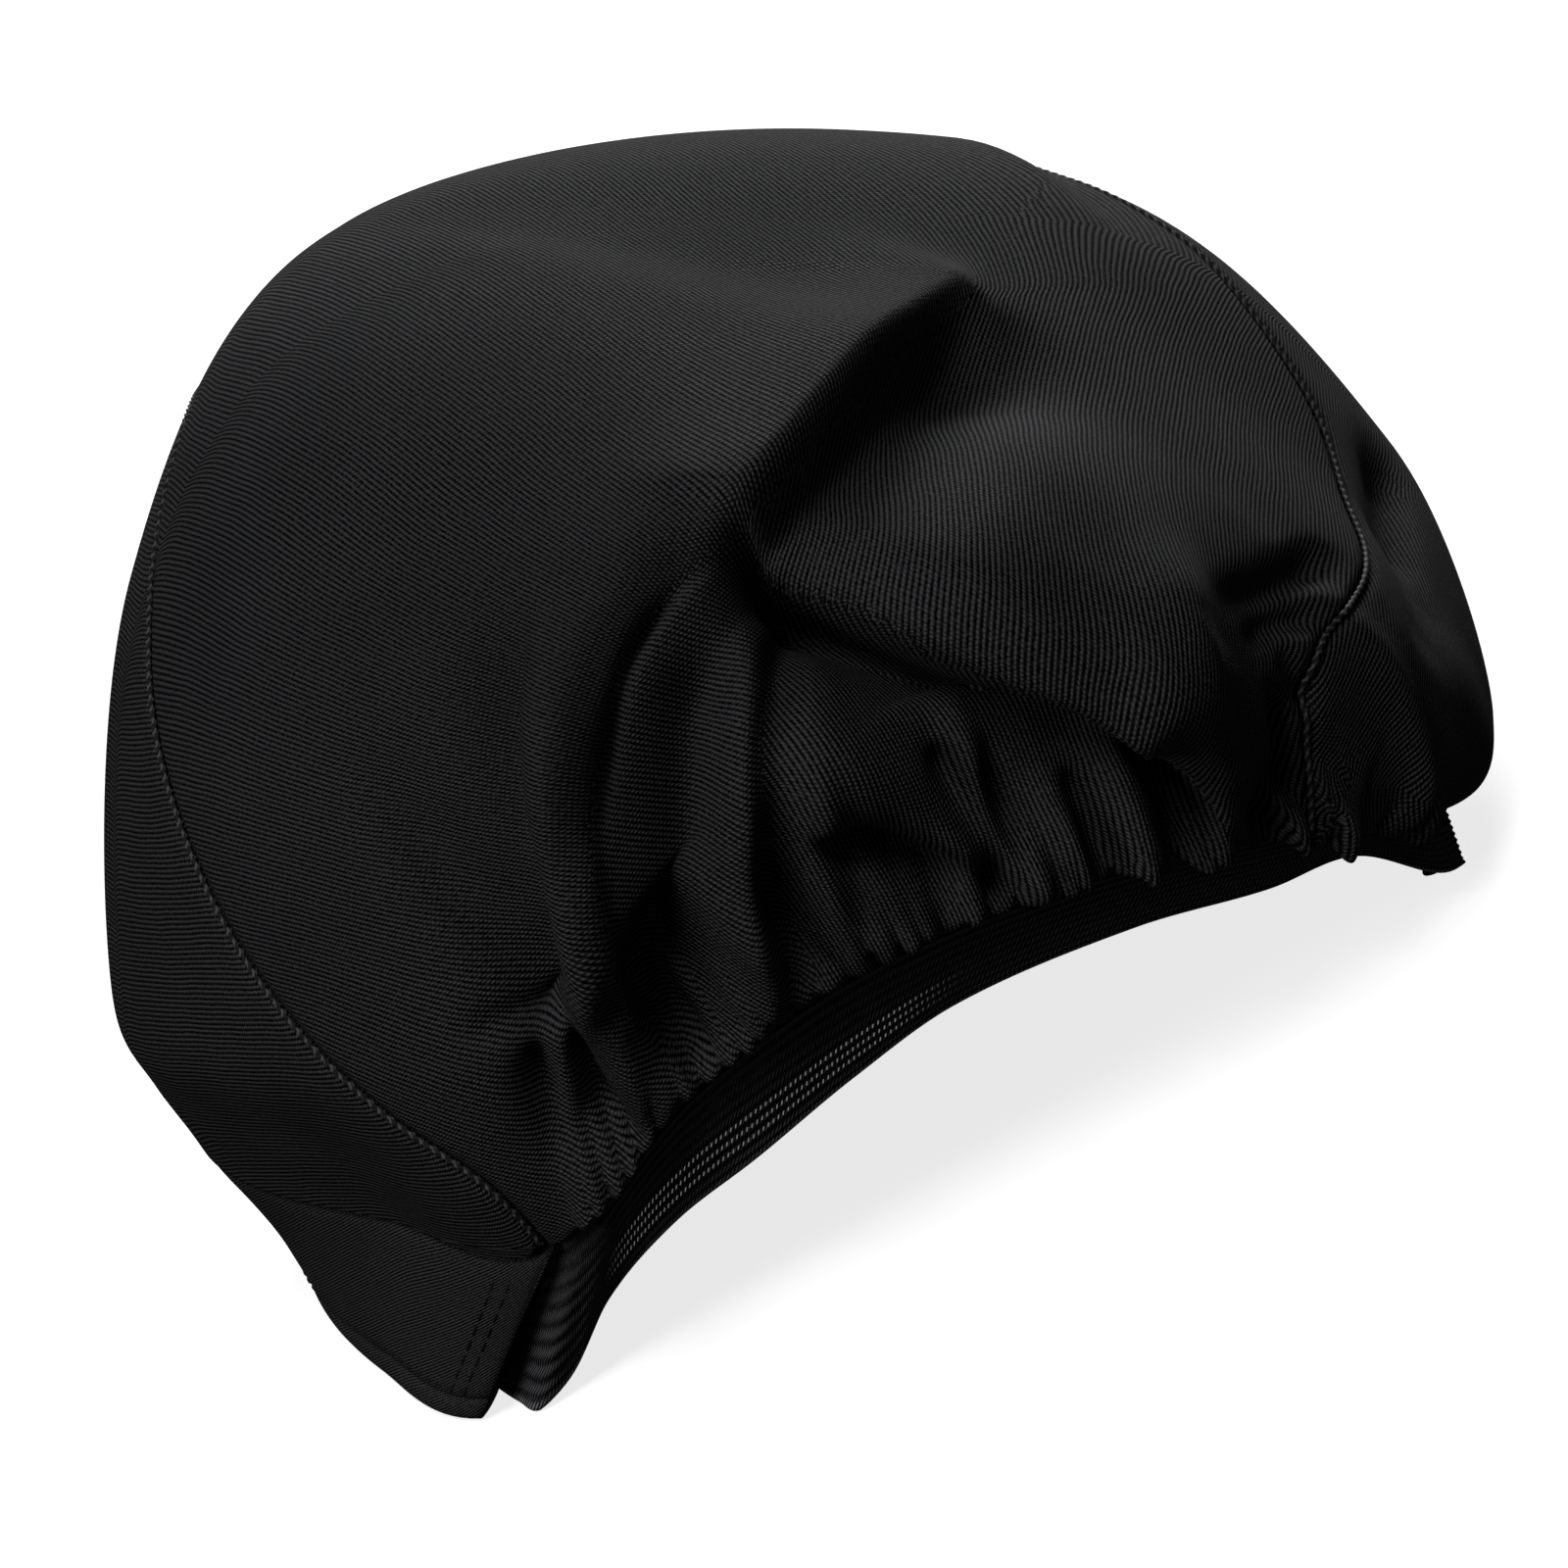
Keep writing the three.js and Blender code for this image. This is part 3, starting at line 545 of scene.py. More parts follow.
def evened_flat(points, flat):
    """The flat pattern worked out on coarse grids first, so that its long bends come out too."""
    rows, columns = points.shape[:2]
    for stride in COARSE_STEPS:
        row_keys = np.unique(np.linspace(0, rows - 1, rows // stride + 1).astype(int))
        column_keys = np.unique(np.linspace(0, columns - 1, columns // stride + 1).astype(int))
        picked = np.ix_(row_keys, column_keys)
        moved = relaxed_flat(points[picked], flat[picked], COARSE_ROUNDS) - flat[picked]
        wide = np.empty((len(row_keys), columns, 2))
        for axis in (0, 1):
            for index, line in enumerate(moved[..., axis]):
                wide[index, :, axis] = np.interp(np.arange(columns), column_keys, line)
            for column in range(columns):
                flat[:, column, axis] += np.interp(np.arange(rows), row_keys, wide[:, column, axis])
    return relaxed_flat(points, flat, FINE_ROUNDS)


def side_flat(hand):
    """Flat places of a side panel as seen from its side, spread where it slopes."""
    return lambda points: np.stack([
        (points[..., 0] * hand) * SIDE_SPREAD[0] - points[..., 2] * SIDE_SPREAD[1],
        points[..., 1] * hand,
    ], -1)


def path_lengths(path):
    """Distance along a path to each of its points."""
    return np.concatenate([[0], np.cumsum(np.linalg.norm(np.diff(path, axis=0), axis=-1))])


def edge_lengths(points):
    """Distance across the grid from its first column."""
    steps = np.linalg.norm(np.diff(points, axis=1), axis=-1)
    return np.concatenate([np.zeros((len(points), 1)), np.cumsum(steps, 1)], 1)


def first_flat(points):
    """Flat places from the lengths along the grid's own rows and columns."""
    along = np.linalg.norm(np.diff(points, axis=0), axis=-1)
    u = edge_lengths(points)
    middle = points.shape[1] // 2
    u -= u[:, middle:middle + 1]
    v = np.concatenate([[0], np.cumsum(along.mean(1))])
    return np.stack([u, np.broadcast_to(v[:, None], u.shape)], -1)


# The twill's ribs: their angle to a panel's width in its flat pattern, in degrees. The centre panel's
# slack cloth is turned in its folds, so its parts have their own angles.
LEFT_RIBS = 107.0
RIGHT_RIBS = 95.0
UPPER_RIBS = 110.0
CHEEK_RIBS = 131.0
MIDDLE_RIBS = 136.0
LOBE_RIBS = 68.0
GATHER_RIBS = 97.0
BAND_RIBS = 148.0

# Lines over the disc where one part of the centre panel meets the next
LOBE_LINE = [(-0.52, -0.12), (-0.33, 0.19), (-0.27, 0.26), (-0.18, 0.38), (-0.1, 0.46), (-0.06, 0.485),
             (-0.095, 0.56), (-0.135, 0.68), (-0.225, 0.745), (-0.33, 0.82), (-0.37, 0.9), (-0.42, 1.04)]
GATHER_LINE = [(-0.06, 0.485), (-0.07, 0.58), (0.01, 0.67), (0.05, 0.7), (0.09, 0.76), (0.11, 0.86),
               (0.13, 0.92), (0.17, 1.04)]
MIDDLE_LINE = [(-0.06, 0.485), (0.01, 0.515), (0.07, 0.54), (0.11, 0.56), (0.16, 0.6), (0.21, 0.63),
               (0.25, 0.67), (0.31, 0.76), (0.33, 0.83), (0.34, 1.04)]
CHEEK_LINE = [(0.62, 0.05), (0.42, 0.3), (0.2, 0.5), (0.1, 0.6)]
# How softly ribs turn at the cheek's line, and at the lobe's line above the peak; below the peak the
# two sides are kept a little apart, so that the change is sharp
CHEEK_SOFTNESS = 0.22
LOBE_SOFTNESS = 0.17
LOBE_PARTING = 0.02


def straight_ribs(flat, angle):
    """Distances across and along ribs at an angle, in degrees, to the flat pattern's first direction."""
    turn = math.radians(angle)
    u = flat[..., 0]
    v = flat[..., 1]
    across = u * math.sin(turn) - v * math.cos(turn)
    along = u * math.cos(turn) + v * math.sin(turn)
    return np.stack([across, along], -1)


def left_of(line, places):
    """Distance on the disc to the left of a line of places, below 0 at its right."""
    line = np.array(line)
    best = np.full(places.shape[:-1], 9.0)
    result = np.zeros(places.shape[:-1])
    for start, stop in zip(line[:-1], line[1:]):
        along = stop - start
        away = places - start
        share = np.clip((away @ along) / (along @ along), 0, 1)
        distance = np.linalg.norm(away - share[..., None] * along, axis=-1)
        hand = along[0] * away[..., 1] - along[1] * away[..., 0]
        nearer = distance < best
        result = np.where(nearer, distance * np.sign(hand), result)
        best = np.where(nearer, distance, best)
    return result


def matched(ribs, other, places, place):
    """Ribs moved along so that they meet the other ribs at a place."""
    nearest = np.unravel_index(np.argmin(((places - place) ** 2).sum(-1)), places.shape[:2])
    return ribs + (other[nearest] - ribs[nearest])


def centre_ribs(flat, places):
    """Distances across and along the ribs of the centre panel, whose slack cloth is turned in the folds:
    one set each for the left, the middle, the gathers and the lobe, and which of them each place has."""
    peak = np.array(LOBE_LINE[1])
    knot = np.array(GATHER_LINE[0])
    to_cheek = left_of(CHEEK_LINE, places)
    cheek_share = smoothstep(-to_cheek, -CHEEK_SOFTNESS, CHEEK_SOFTNESS)[..., None]
    upper = straight_ribs(flat, UPPER_RIBS)
    cheek = matched(straight_ribs(flat, CHEEK_RIBS), upper, places, np.array(CHEEK_LINE[1]))
    left = upper * (1 - cheek_share) + cheek * cheek_share
    lobe = matched(straight_ribs(flat, LOBE_RIBS), left, places, peak)
    gathers = matched(straight_ribs(flat, GATHER_RIBS), left, places, knot)
    middle = matched(straight_ribs(flat, MIDDLE_RIBS), left, places, knot)
    to_lobe = left_of(LOBE_LINE, places)
    below_peak = smoothstep(places[..., 1] - peak[1], -0.03, 0.04)
    apart = LOBE_PARTING * below_peak
    soft = 0.001 + LOBE_SOFTNESS * (1 - below_peak)

    def blended(distance):
        share = smoothstep(distance, -soft, soft)[..., None]
        return left * (1 - share) + lobe * share

    low = places[..., 1] > knot[1]
    which = np.where(low & (left_of(MIDDLE_LINE, places) > 0), 1, 0)
    which = np.where(low & (left_of(GATHER_LINE, places) > 0), 2, which)
    which = np.where(to_lobe > 0, 3, which)
    sets = [blended(np.minimum(to_lobe, -apart)), middle, gathers, blended(np.maximum(to_lobe, apart))]
    return sets, which


def one_set(ribs):
    """Ribs that are the same all over a piece."""
    return [ribs], np.zeros(ribs.shape[:2], int)


def added(name, data):
    """A new object in the scene."""
    thing = bpy.data.objects.new(name, data)
    bpy.context.scene.collection.objects.link(thing)
    return thing


def new_piece(name, bm, node, finish):
    """Turns a bmesh in metres into a piece that rides on the cap and stands for a CAD node."""
    mesh = bpy.data.meshes.new(name)
    bm.to_mesh(mesh)
    bm.free()
    for polygon in mesh.polygons:
        polygon.use_smooth = True
    piece = added(name, mesh)
    mesh.materials.append(material(finish))
    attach(piece, "root")
    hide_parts(node)
    return piece


def grid_bmesh(points, flats, which):
    """A grid moved onto points (rows x columns x 3, millimetres), with its UVs in millimetres of cloth.
    There can be several sets of UVs, and each place says which of them its face has."""
    rows, columns = points.shape[:2]
    bm = bmesh.new()
    uv = bm.loops.layers.uv.new("cloth")
    bmesh.ops.create_grid(bm, x_segments=columns - 1, y_segments=rows - 1, size=1.0)
    bm.verts.ensure_lookup_table()
    places = ((points + CAP_PLACE) * MM).reshape(-1, 3)
    for vertex, place in zip(bm.verts, places):
        vertex.co = place
    flats = [flat.reshape(-1, 2) for flat in flats]
    which = which.reshape(-1)
    for face in bm.faces:
        flat = flats[which[min(vertex.index for vertex in face.verts)]]
        for loop in face.loops:
            loop[uv].uv = flat[loop.vert.index]
    return bm


def thicken(piece):
    """Gives cloth its thickness, inwards from the modelled face."""
    solidify = piece.modifiers.new("thickness", "SOLIDIFY")
    solidify.thickness = bpy.context.scene.cap_sizes.cloth
    solidify.offset = -1
    solidify.use_quality_normals = True


class Value:
    """A shader socket that arithmetic can be written with."""

    def __init__(self, graph, socket):
        self.graph = graph
        self.socket = socket

    def math(self, operation, *others):
        return self.graph.node("ShaderNodeMath", {"operation": operation}, self, *others)

    def __add__(self, other):
        return self.math("ADD", other)

    def __sub__(self, other):
        return self.math("SUBTRACT", other)

    def __mul__(self, other):
        return self.math("MULTIPLY", other)

    def __rsub__(self, other):
        return self.graph.node("ShaderNodeMath", {"operation": "SUBTRACT"}, other, self)

    def clamped(self, low, high):
        """How far the value is from low to high, held between 0 and 1."""
        return self.graph.node("ShaderNodeMapRange", {"clamp": True}, self, low, high)


class Graph:
    """The nodes of one material, ending in a principled shader."""

    def __init__(self, name):
        self.material = bpy.data.materials.new(name)
        self.material.use_nodes = True
        self.tree = self.material.node_tree
        self.shader = next(n for n in self.tree.nodes if n.type == "BSDF_PRINCIPLED")

    def node(self, kind, settings=None, *inputs, output=0, **named):
        """Adds a node, sets its settings, fills its inputs in order and by name, and gives an output."""
        new = self.tree.nodes.new(kind)
        for key, value in (settings or {}).items():
            setattr(new, key, value)
        for index, value in enumerate(inputs):
            self.fill(new.inputs[index], value)
        for key, value in named.items():
            self.fill(new.inputs[key.replace("_", " ")], value)
        outputs = [s for s in new.outputs if s.enabled]
        return Value(self, outputs[output])

    def fill(self, socket, value):
        if isinstance(value, Value):
            self.tree.links.new(value.socket, socket)
        elif value is not None:
            socket.default_value = value

    def mix(self, share, first, second):
        """A colour between two, by a share."""
        new = self.tree.nodes.new("ShaderNodeMix")
        new.data_type = "RGBA"
        for name, value in (("Factor", share), ("A", first), ("B", second)):
            wanted = "VALUE" if name == "Factor" else "RGBA"
            socket = next(s for s in new.inputs if s.name == name and s.type == wanted)
            self.fill(socket, value)
        return Value(self, next(s for s in new.outputs if s.type == "RGBA"))

    def uv(self):
        """The cloth's own millimetres, across and along."""
        place = self.node("ShaderNodeUVMap", {"uv_map": "cloth"})
        split = self.tree.nodes.new("ShaderNodeSeparateXYZ")
        self.tree.links.new(place.socket, split.inputs[0])
        return place, Value(self, split.outputs[0]), Value(self, split.outputs[1])

    def noise(self, place, scale, detail=3.0):
        return self.node("ShaderNodeTexNoise", None, place, Scale=scale, Detail=detail)

    def wave(self, place, pitch):
        """0 to 1 and back over each pitch."""
        return (place * (2 * math.pi / pitch)).math("SINE") * 0.5 + 0.5

    def finish(self, colour, roughness, height, distance, sheen=0.0, specular=0.04):
        """Fills the shader, raises the height by a distance in millimetres, and gives the material."""
        self.fill(self.shader.inputs["Base Color"], colour)
        self.fill(self.shader.inputs["Roughness"], roughness)
        bump = self.node("ShaderNodeBump", None, Strength=1.0, Distance=distance * MM, Height=height)
        self.fill(self.shader.inputs["Normal"], bump)
        self.shader.inputs["Sheen Weight"].default_value = sheen
        self.shader.inputs["Sheen Roughness"].default_value = 0.5
        self.shader.inputs["Specular IOR Level"].default_value = specular
        return self.material


def shade(colour, share):
    """A colour made darker or lighter."""
    return tuple(channel * share for channel in colour[:3]) + (1.0,)


def between(value, places):
    """1 between the inner two of four places, and 0 outside the outer two."""
    return value.clamped(places[0], places[1]) * value.clamped(places[3], places[2])


# The twill: how far its ribs waver, in millimetres, the slant of its floats and their pitch for a rib's,
# and the shares of the cloth's colour in the grooves and on the ribs
RIB_WAVER = 1.2
FLOAT_SLANT = 0.45
FLOAT_PITCH = 0.76
GROOVE_SHADE = 0.03
RIB_SHADES = (3.4, 4.2)


def twill_material(name, look, pitch, depth=0.3):
    """Steep twill: ribs with near-black grooves, each rib broken into short floats."""
    graph = Graph(name)
    place, across_ribs, along_ribs = graph.uv()
    wobble = graph.noise(place, 0.05, 2.0)
    across_ribs = across_ribs + wobble * RIB_WAVER
    rib = graph.wave(across_ribs, pitch)
    step = graph.wave(along_ribs + across_ribs * FLOAT_SLANT, pitch * FLOAT_PITCH)
    grain = graph.noise(place, 1.9)
    patch = graph.noise(place, 0.035)
    thread = rib * (step * 0.6 + 0.4)
    height = thread + grain * 0.3
    tone = (thread + grain * 0.9).clamped(0.45, 1.3)
    cloth = look.cloth_colour
    bright = graph.mix(patch.clamped(0.35, 0.75), *(shade(cloth, share) for share in RIB_SHADES))
    base = graph.mix(tone, shade(cloth, GROOVE_SHADE), bright)
    roughness = graph.node("ShaderNodeMapRange", None, tone, 0.0, 1.0, 0.95, 0.78)
    return graph.finish(base, roughness, height, depth, sheen=look.sheen)


# The elastic's loops, with the shares of its colour between them and on them, and the lighter share at its
# lower edge that is painted light from the white floor below
LOOP_PITCH = 0.72
LOOP_SLANT = 0.35
YARN_AND_FLOOR_LIGHT_SHADES = (0.7, 12.0, 30.0)
# Its open holes, in millimetres of its weave: how far along it they start and stop, the same up it,
# their pitch each way, and how much each lets through
HOLES_ALONG = (88.0, 100.0, 150.0, 160.0)
HOLES_UP = (1.8, 2.0, 7.0, 7.2)
HOLE_PITCH_ALONG = 0.9
HOLE_PITCH_UP = 1.5
HOLE_WIDTH = (0.86, 0.9)
HOLE_OPEN = 0.22


def elastic_material(look):
    """Ribbed woven elastic: lengthwise ribs of small loops, with rows of open holes low down, and painted
    light from the floor on its lower edge.
    """
    graph = Graph("elastic_yarn")
    place, u, v = graph.uv()
    ribs = graph.wave(v, look.rib_pitch)
    loops = graph.wave(u + v * LOOP_SLANT, LOOP_PITCH)
    grain = graph.noise(place, 2.2)
    height = ribs * 0.5 + loops * 0.3 + grain * 0.4
    spots = (loops * (ribs * 0.6 + 0.4) + grain * 0.8).clamped(0.6, 1.3)
    # Painted light: the lowest 1.6 mm of the outer face, the rolled edge that faces the floor, is given a
    # much lighter colour. It stands in for light thrown up from the white floor, which throws no light on
    # the cap itself.
    floor_light_share = v.clamped(1.6, 0.9)
    dark, lit, edge = (shade(look.elastic_colour, share) for share in YARN_AND_FLOOR_LIGHT_SHADES)
    base = graph.mix(spots, dark, graph.mix(floor_light_share, lit, edge))
    inside = v.clamped(ELASTIC_INSIDE - 4, ELASTIC_INSIDE - 3)
    level = v - inside * ELASTIC_INSIDE
    rows = between(level, HOLES_UP) * between(u, HOLES_ALONG)
    dots = (graph.wave(u, HOLE_PITCH_ALONG).clamped(*HOLE_WIDTH)
            * graph.wave(level, HOLE_PITCH_UP).clamped(*HOLE_WIDTH))
    open_share = rows * (dots * HOLE_OPEN * (1 - inside) + inside)
    graph.fill(graph.shader.inputs["Alpha"], 1 - open_share)
    return graph.finish(base, 0.72, height, 0.22, sheen=look.sheen * 0.5)


THREAD_TURN = 1.8


def thread_material(look):
    """Twisted thread with a light dot at each turn."""
    graph = Graph("sewing_thread")
    _, u, v = graph.uv()
    twist = graph.wave(u + v, THREAD_TURN)
    thread = look.thread_colour
    base = graph.mix(twist.clamped(0.55, 0.9), shade(thread, 0.5), shade(thread, 3.0))
    return graph.finish(base, 0.6, twist, 0.05)


def colour_property(name, description, default):
    """A colour in the panel. The three below are the same for a length, an angle and a power."""
    return FloatVectorProperty(
        name=name, description=description, default=default, size=3, min=0.0, max=1.0, subtype="COLOR")


def length_property(name, description, default, low, high):
    return FloatProperty(
        name=name, description=description, default=default, min=low, max=high,
        subtype="DISTANCE", unit="LENGTH")


def angle_property(name, description, degrees):
    return FloatProperty(
        name=name, description=description, default=math.radians(degrees), subtype="ANGLE")


def power_property(name, description, default):
    return FloatProperty(name=name, description=description, default=default, min=0.0)


class CapLook(bpy.types.PropertyGroup):
    """Colours and weave that a user would change."""

    cloth_colour: colour_property("Cloth", "Colour of the crown's twill", (0.0135, 0.0135, 0.0145))
    elastic_colour: colour_property("Elastic", "Colour of the nape elastic", (0.0065, 0.0065, 0.007))
    thread_colour: colour_property("Thread", "Colour of the sewing thread", (0.02, 0.02, 0.0205))
    sheen: FloatProperty(
        name="Sheen", description="Soft gloss of the cloth's fibres", subtype="FACTOR",
        default=0.0, min=0.0, max=1.0)
    rib_pitch: FloatProperty(
        name="Elastic ribs", description="Distance between the elastic's ribs, in millimetres",
        default=1.55, min=0.5, max=4.0)
    twill_pitch: FloatProperty(
        name="Twill ribs", description="Distance between the twill's diagonal ribs, in millimetres",
        default=0.72, min=0.3, max=3.0)


class CapSizes(bpy.types.PropertyGroup):
    """Sizes of the cloth and of what is sewn onto it, and how fine the grid is."""

    cloth: length_property("Cloth thickness", "Thickness of the crown's cloth", CLOTH * MM, 0.0005, 0.004)
    seam_cord: length_property("Seam cord", "Radius of the cord over a seam", 0.0004, 0.0002, 0.002)
    stitch_length: length_property("Stitch", "Length of a topstitch", 0.0024, 0.001, 0.006)
    grid_share: IntProperty(
        name="Grid", description="Cells across the centre panel", default=184, min=40, max=220)


def material(name):
    """A finish made once and shared by the pieces that have it."""
    known = bpy.data.materials.get(name)
    if known:
        return known
    look = bpy.context.scene.cap_look
    makers = {
        "crown_twill": lambda: twill_material("crown_twill", look, look.twill_pitch),
        "band_cloth": lambda: twill_material("band_cloth", look, look.twill_pitch * 0.8, 0.15),
        "elastic_yarn": lambda: elastic_material(look),
        "sewing_thread": lambda: thread_material(look),
    }
    return makers[name]()


# Rows of the panels' grids from the nape (1) to the brow (-1): each stop, and the steps up to it
ROW_ZONES = [(0.9, 22), (0.12, 140), (-0.2, 22), (-1, 38)]

# A side panel's columns, and how far short of the seam's ends and of the rim's corners it stays
SIDE_COLUMNS = 80
SIDE_END = 0.98
CORNER_STEP = math.radians(1.5)


def seam_groove(distance):
    """How far the cloth turns in beside a seam, from the distance to it in millimetres."""
    return GROOVE_DEPTH * np.exp(-(distance / GROOVE_WIDTH) ** 2)


def calmed(points):
    """The cloth with its finest folds ironed out, so that its flat pattern stays even."""
    for _ in range(CALM_ROUNDS):
        inner = (points[:-2, 1:-1] + points[2:, 1:-1] + points[1:-1, :-2] + points[1:-1, 2:]) / 4
        points = points.copy()
        points[1:-1, 1:-1] = (points[1:-1, 1:-1] + inner) / 2
    return points


def cloth_piece(name, places, edge_distance, sewn, ribs_of, node, flat_of=first_flat):
    """A panel whose sewn edges, the given columns, are turned in as seam allowances."""
    points = crown(places)
    normals = outward_normal(smooth_crown, places.reshape(-1, 2)).reshape(points.shape)
    points = points - normals * seam_groove(edge_distance)[..., None]
    smooth = smooth_crown(places)
    flat = evened_flat(smooth + (calmed(points) - smooth) * FLAT_SHARE, flat_of(smooth))
    flats, which = ribs_of(flat, places)

    def widened(values, change, column):
        edge = values[:, column:column + 1 or None] + change
        return np.concatenate([edge, values] if column == 0 else [values, edge], 1)

    turned = [-normals[:, column:column + 1 or None] * SEAM_ALLOWANCE for column in sewn]
    for column, change in zip(sewn, turned):
        points = widened(points, change, column)
        flats = [widened(flat, (SEAM_ALLOWANCE, 0), column) for flat in flats]
        which = widened(which, 0, column)
    bm = grid_bmesh(points, flats, which)
    piece = new_piece(name, bm, node, "crown_twill")
    thicken(piece)
    return piece


class CAP_OT_centre_panel(bpy.types.Operator):
    """Build the slack centre panel with its folds and gathers"""

    bl_idname = "cap.centre_panel"
    bl_label = "Centre Panel"

    def execute(self, context):
        columns = context.scene.cap_sizes.grid_share
        along = zones(1.0, ROW_ZONES)
        across = np.linspace(1 - SEAM_INSET, SEAM_INSET, columns + 1)
        places = centre_place(across[None, :], along[:, None] + 0 * across[None, :])
        smooth = smooth_crown(places)
        reach = edge_lengths(smooth)
        distance = np.minimum(reach, reach[:, -1:] - reach)
        cloth_piece("centre_panel_cloth", places, distance, (0, -1), centre_ribs, "centre_panel")
        return {"FINISHED"}


def side_places(hand):
    """Places of a side panel on the disc, from the seam out to the rim. The hand is 1 at the left."""
    across = 1 + SEAM_INSET if hand > 0 else -SEAM_INSET
    steps = zones(1.0, ROW_ZONES)
    steps = np.concatenate([[SIDE_END], steps[np.abs(steps) < 0.97], [-SIDE_END]])
    seam = centre_place(np.full(len(steps), across), steps)
    corner = centre_place(np.array([1.0, 1.0] if hand > 0 else [0.0, 0.0]), np.array([1.0, -1.0]))
    angles = np.arctan2(corner[:, 0] * hand, corner[:, 1])
    start = angles[0] + CORNER_STEP
    stop = angles[1] - CORNER_STEP
    angle = start + (stop - start) * (SIDE_END - steps) / (2 * SIDE_END)
    rim = np.stack([np.sin(angle) * hand, np.cos(angle)], -1) * RIM_REACH
    down = np.linspace(0, 1, SIDE_COLUMNS + 1)[None, :, None]
    places = seam[:, None] * (1 - down) + rim[:, None] * down
    return places[::-1] if hand > 0 else places


class CAP_OT_side_panels(bpy.types.Operator):
    """Build the two side panels"""

    bl_idname = "cap.side_panels"
    bl_label = "Side Panels"

    def execute(self, context):
        for name, hand, angle in (
            ("side_panel_left", 1, LEFT_RIBS),
            ("side_panel_right", -1, RIGHT_RIBS),
        ):
            places = side_places(hand)
            distance = edge_lengths(smooth_crown(places))
            cloth_piece(name + "_cloth", places, distance, (0,),
                        lambda flat, _: one_set(straight_ribs(flat, angle)), name, side_flat(hand))
        return {"FINISHED"}


def polar(turn, out, up):
    """Places round the rim's centre, from a turn in degrees, a distance out and a height."""
    angle = np.radians(turn)
    side = RIM_CENTRE[0] + out * np.sin(angle)
    back = RIM_CENTRE[1] + out * np.cos(angle)
    return np.stack([side, back, up + 0 * turn], -1)


def swept(low, top, profile, around, heights=False):
    """A closed section carried along a strip. The profile has the distance in from the outer face and
    the height from the strip's lower edge (0) to the crown (1). With heights, the flat places go by
    that height and not by the girth, for the elastic's weave."""
    count = len(profile["inward"])
    keys = np.arange(count + 1)
    loop = np.linspace(0, count, around + 1)
    inward_of = smooth_curve(keys, np.append(profile["inward"], profile["inward"][0]))(loop)
    rise_of = smooth_curve(keys, np.append(profile["rise"], profile["rise"][0]))(loop)
    along = np.gradient(low, axis=0)
    inward = unit(np.cross(along, top - low))
    level = unit(inward * np.array([1, 1, 0]))
    tilt = smoothstep(np.minimum(rise_of, 1 - rise_of), 0, 0.3)[None, :, None]
    direction = unit(level[:, None] * (1 - tilt) + inward[:, None] * tilt)
    base = low[:, None] + (top - low)[:, None] * rise_of[None, :, None]
    points = base + direction * inward_of[None, :, None]
    length = path_lengths(low)
    girth = np.concatenate([[0], np.cumsum(np.linalg.norm(np.diff(points, axis=1), axis=-1).mean(0))])
    if heights:
        girth = rise_of * ELASTIC_HEIGHT + np.where(loop > loop[np.argmax(rise_of)], ELASTIC_INSIDE, 0)
    flat = np.stack(np.broadcast_arrays(length[:, None], girth[None, :]), -1)
    return points, flat


def close_sweep(bm):
    """Joins a swept grid's first and last columns and closes its two ends."""
    bmesh.ops.remove_doubles(bm, verts=bm.verts[:], dist=1e-6)
    rims = [edge for edge in bm.edges if edge.is_boundary]
    bmesh.ops.holes_fill(bm, edges=rims, sides=0)
    bmesh.ops.recalc_face_normals(bm, faces=bm.faces[:])
    return bm


# The folded band's section: round the rolled hem, up the outer face, over the top and down the inner face
BAND_PROFILE = table("inward rise", [
    (0.75, 0.018),
    (0.15, 0.045),
    (-0.05, 0.085),
    (0.15, 0.125),
    (0.62, 0.143),
    (0.5, 0.155),
    (0.1, 0.185),
    (0.0, 0.3),
    (0.15, 0.5),
    (0.05, 0.72),
    (0.0, 0.9),
    (0.3, 0.975),
    (1.0, 0.995),
    (1.7, 1.01),
    (1.9, 1.05),
    (2.5, 1.05),
    (2.4, 0.92),
    (2.2, 0.7),
    (2.2, 0.4),
    (2.3, 0.2),
    (2.9, 0.14),
    (3.2, 0.08),
    (3.0, 0.03),
    (2.3, 0.006),
    (1.5, 0.002),
])
BAND_STEPS = 240
BAND_AROUND = 66

# Where the edges of the band and the elastic start and stop, as turns in degrees. The band's top is
# tucked in behind the elastic at the right, and the elastic's behind the band at the left. Each tuck
# grows between two turns.
BAND_LOW_TURNS = (50.0, 313.5)
BAND_TOP_TURNS = (36.0, 317.0)
RIGHT_TUCK = ELASTIC_CLOTH + PIECE_GAP
RIGHT_TUCK_TURNS = (235, 255)
ELASTIC_LOW_TURNS = (-46.2, 51.0)
ELASTIC_TOP_TURNS = (-46.4, 38.5)
LEFT_TUCK = BAND_CLOTH + PIECE_GAP
LEFT_TUCK_TURNS = (28, 35)


def strip_edges(steps, low_turns, top_turns, hem, tuck, tuck_turns):
    """Lower and top edges of a strip under the crown, from its hem and how far its top is tucked in."""
    low_turn = low_turns[0] + (low_turns[1] - low_turns[0]) * steps
    top_turn = top_turns[0] + (top_turns[1] - top_turns[0]) * steps
    tucked = tuck * smoothstep(top_turn, *tuck_turns)
    top = polar(top_turn, rim_out(top_turn) - tucked, rim_up(top_turn) - PIECE_GAP)
    return hem(low_turn), top


def band_edges(steps):
    """The band's lower and top edges, from the elastic's left end round the brow to its right end."""
    return strip_edges(steps, BAND_LOW_TURNS, BAND_TOP_TURNS,
                       lambda turn: polar(turn, band_hem(turn), 0.0), RIGHT_TUCK, RIGHT_TUCK_TURNS)


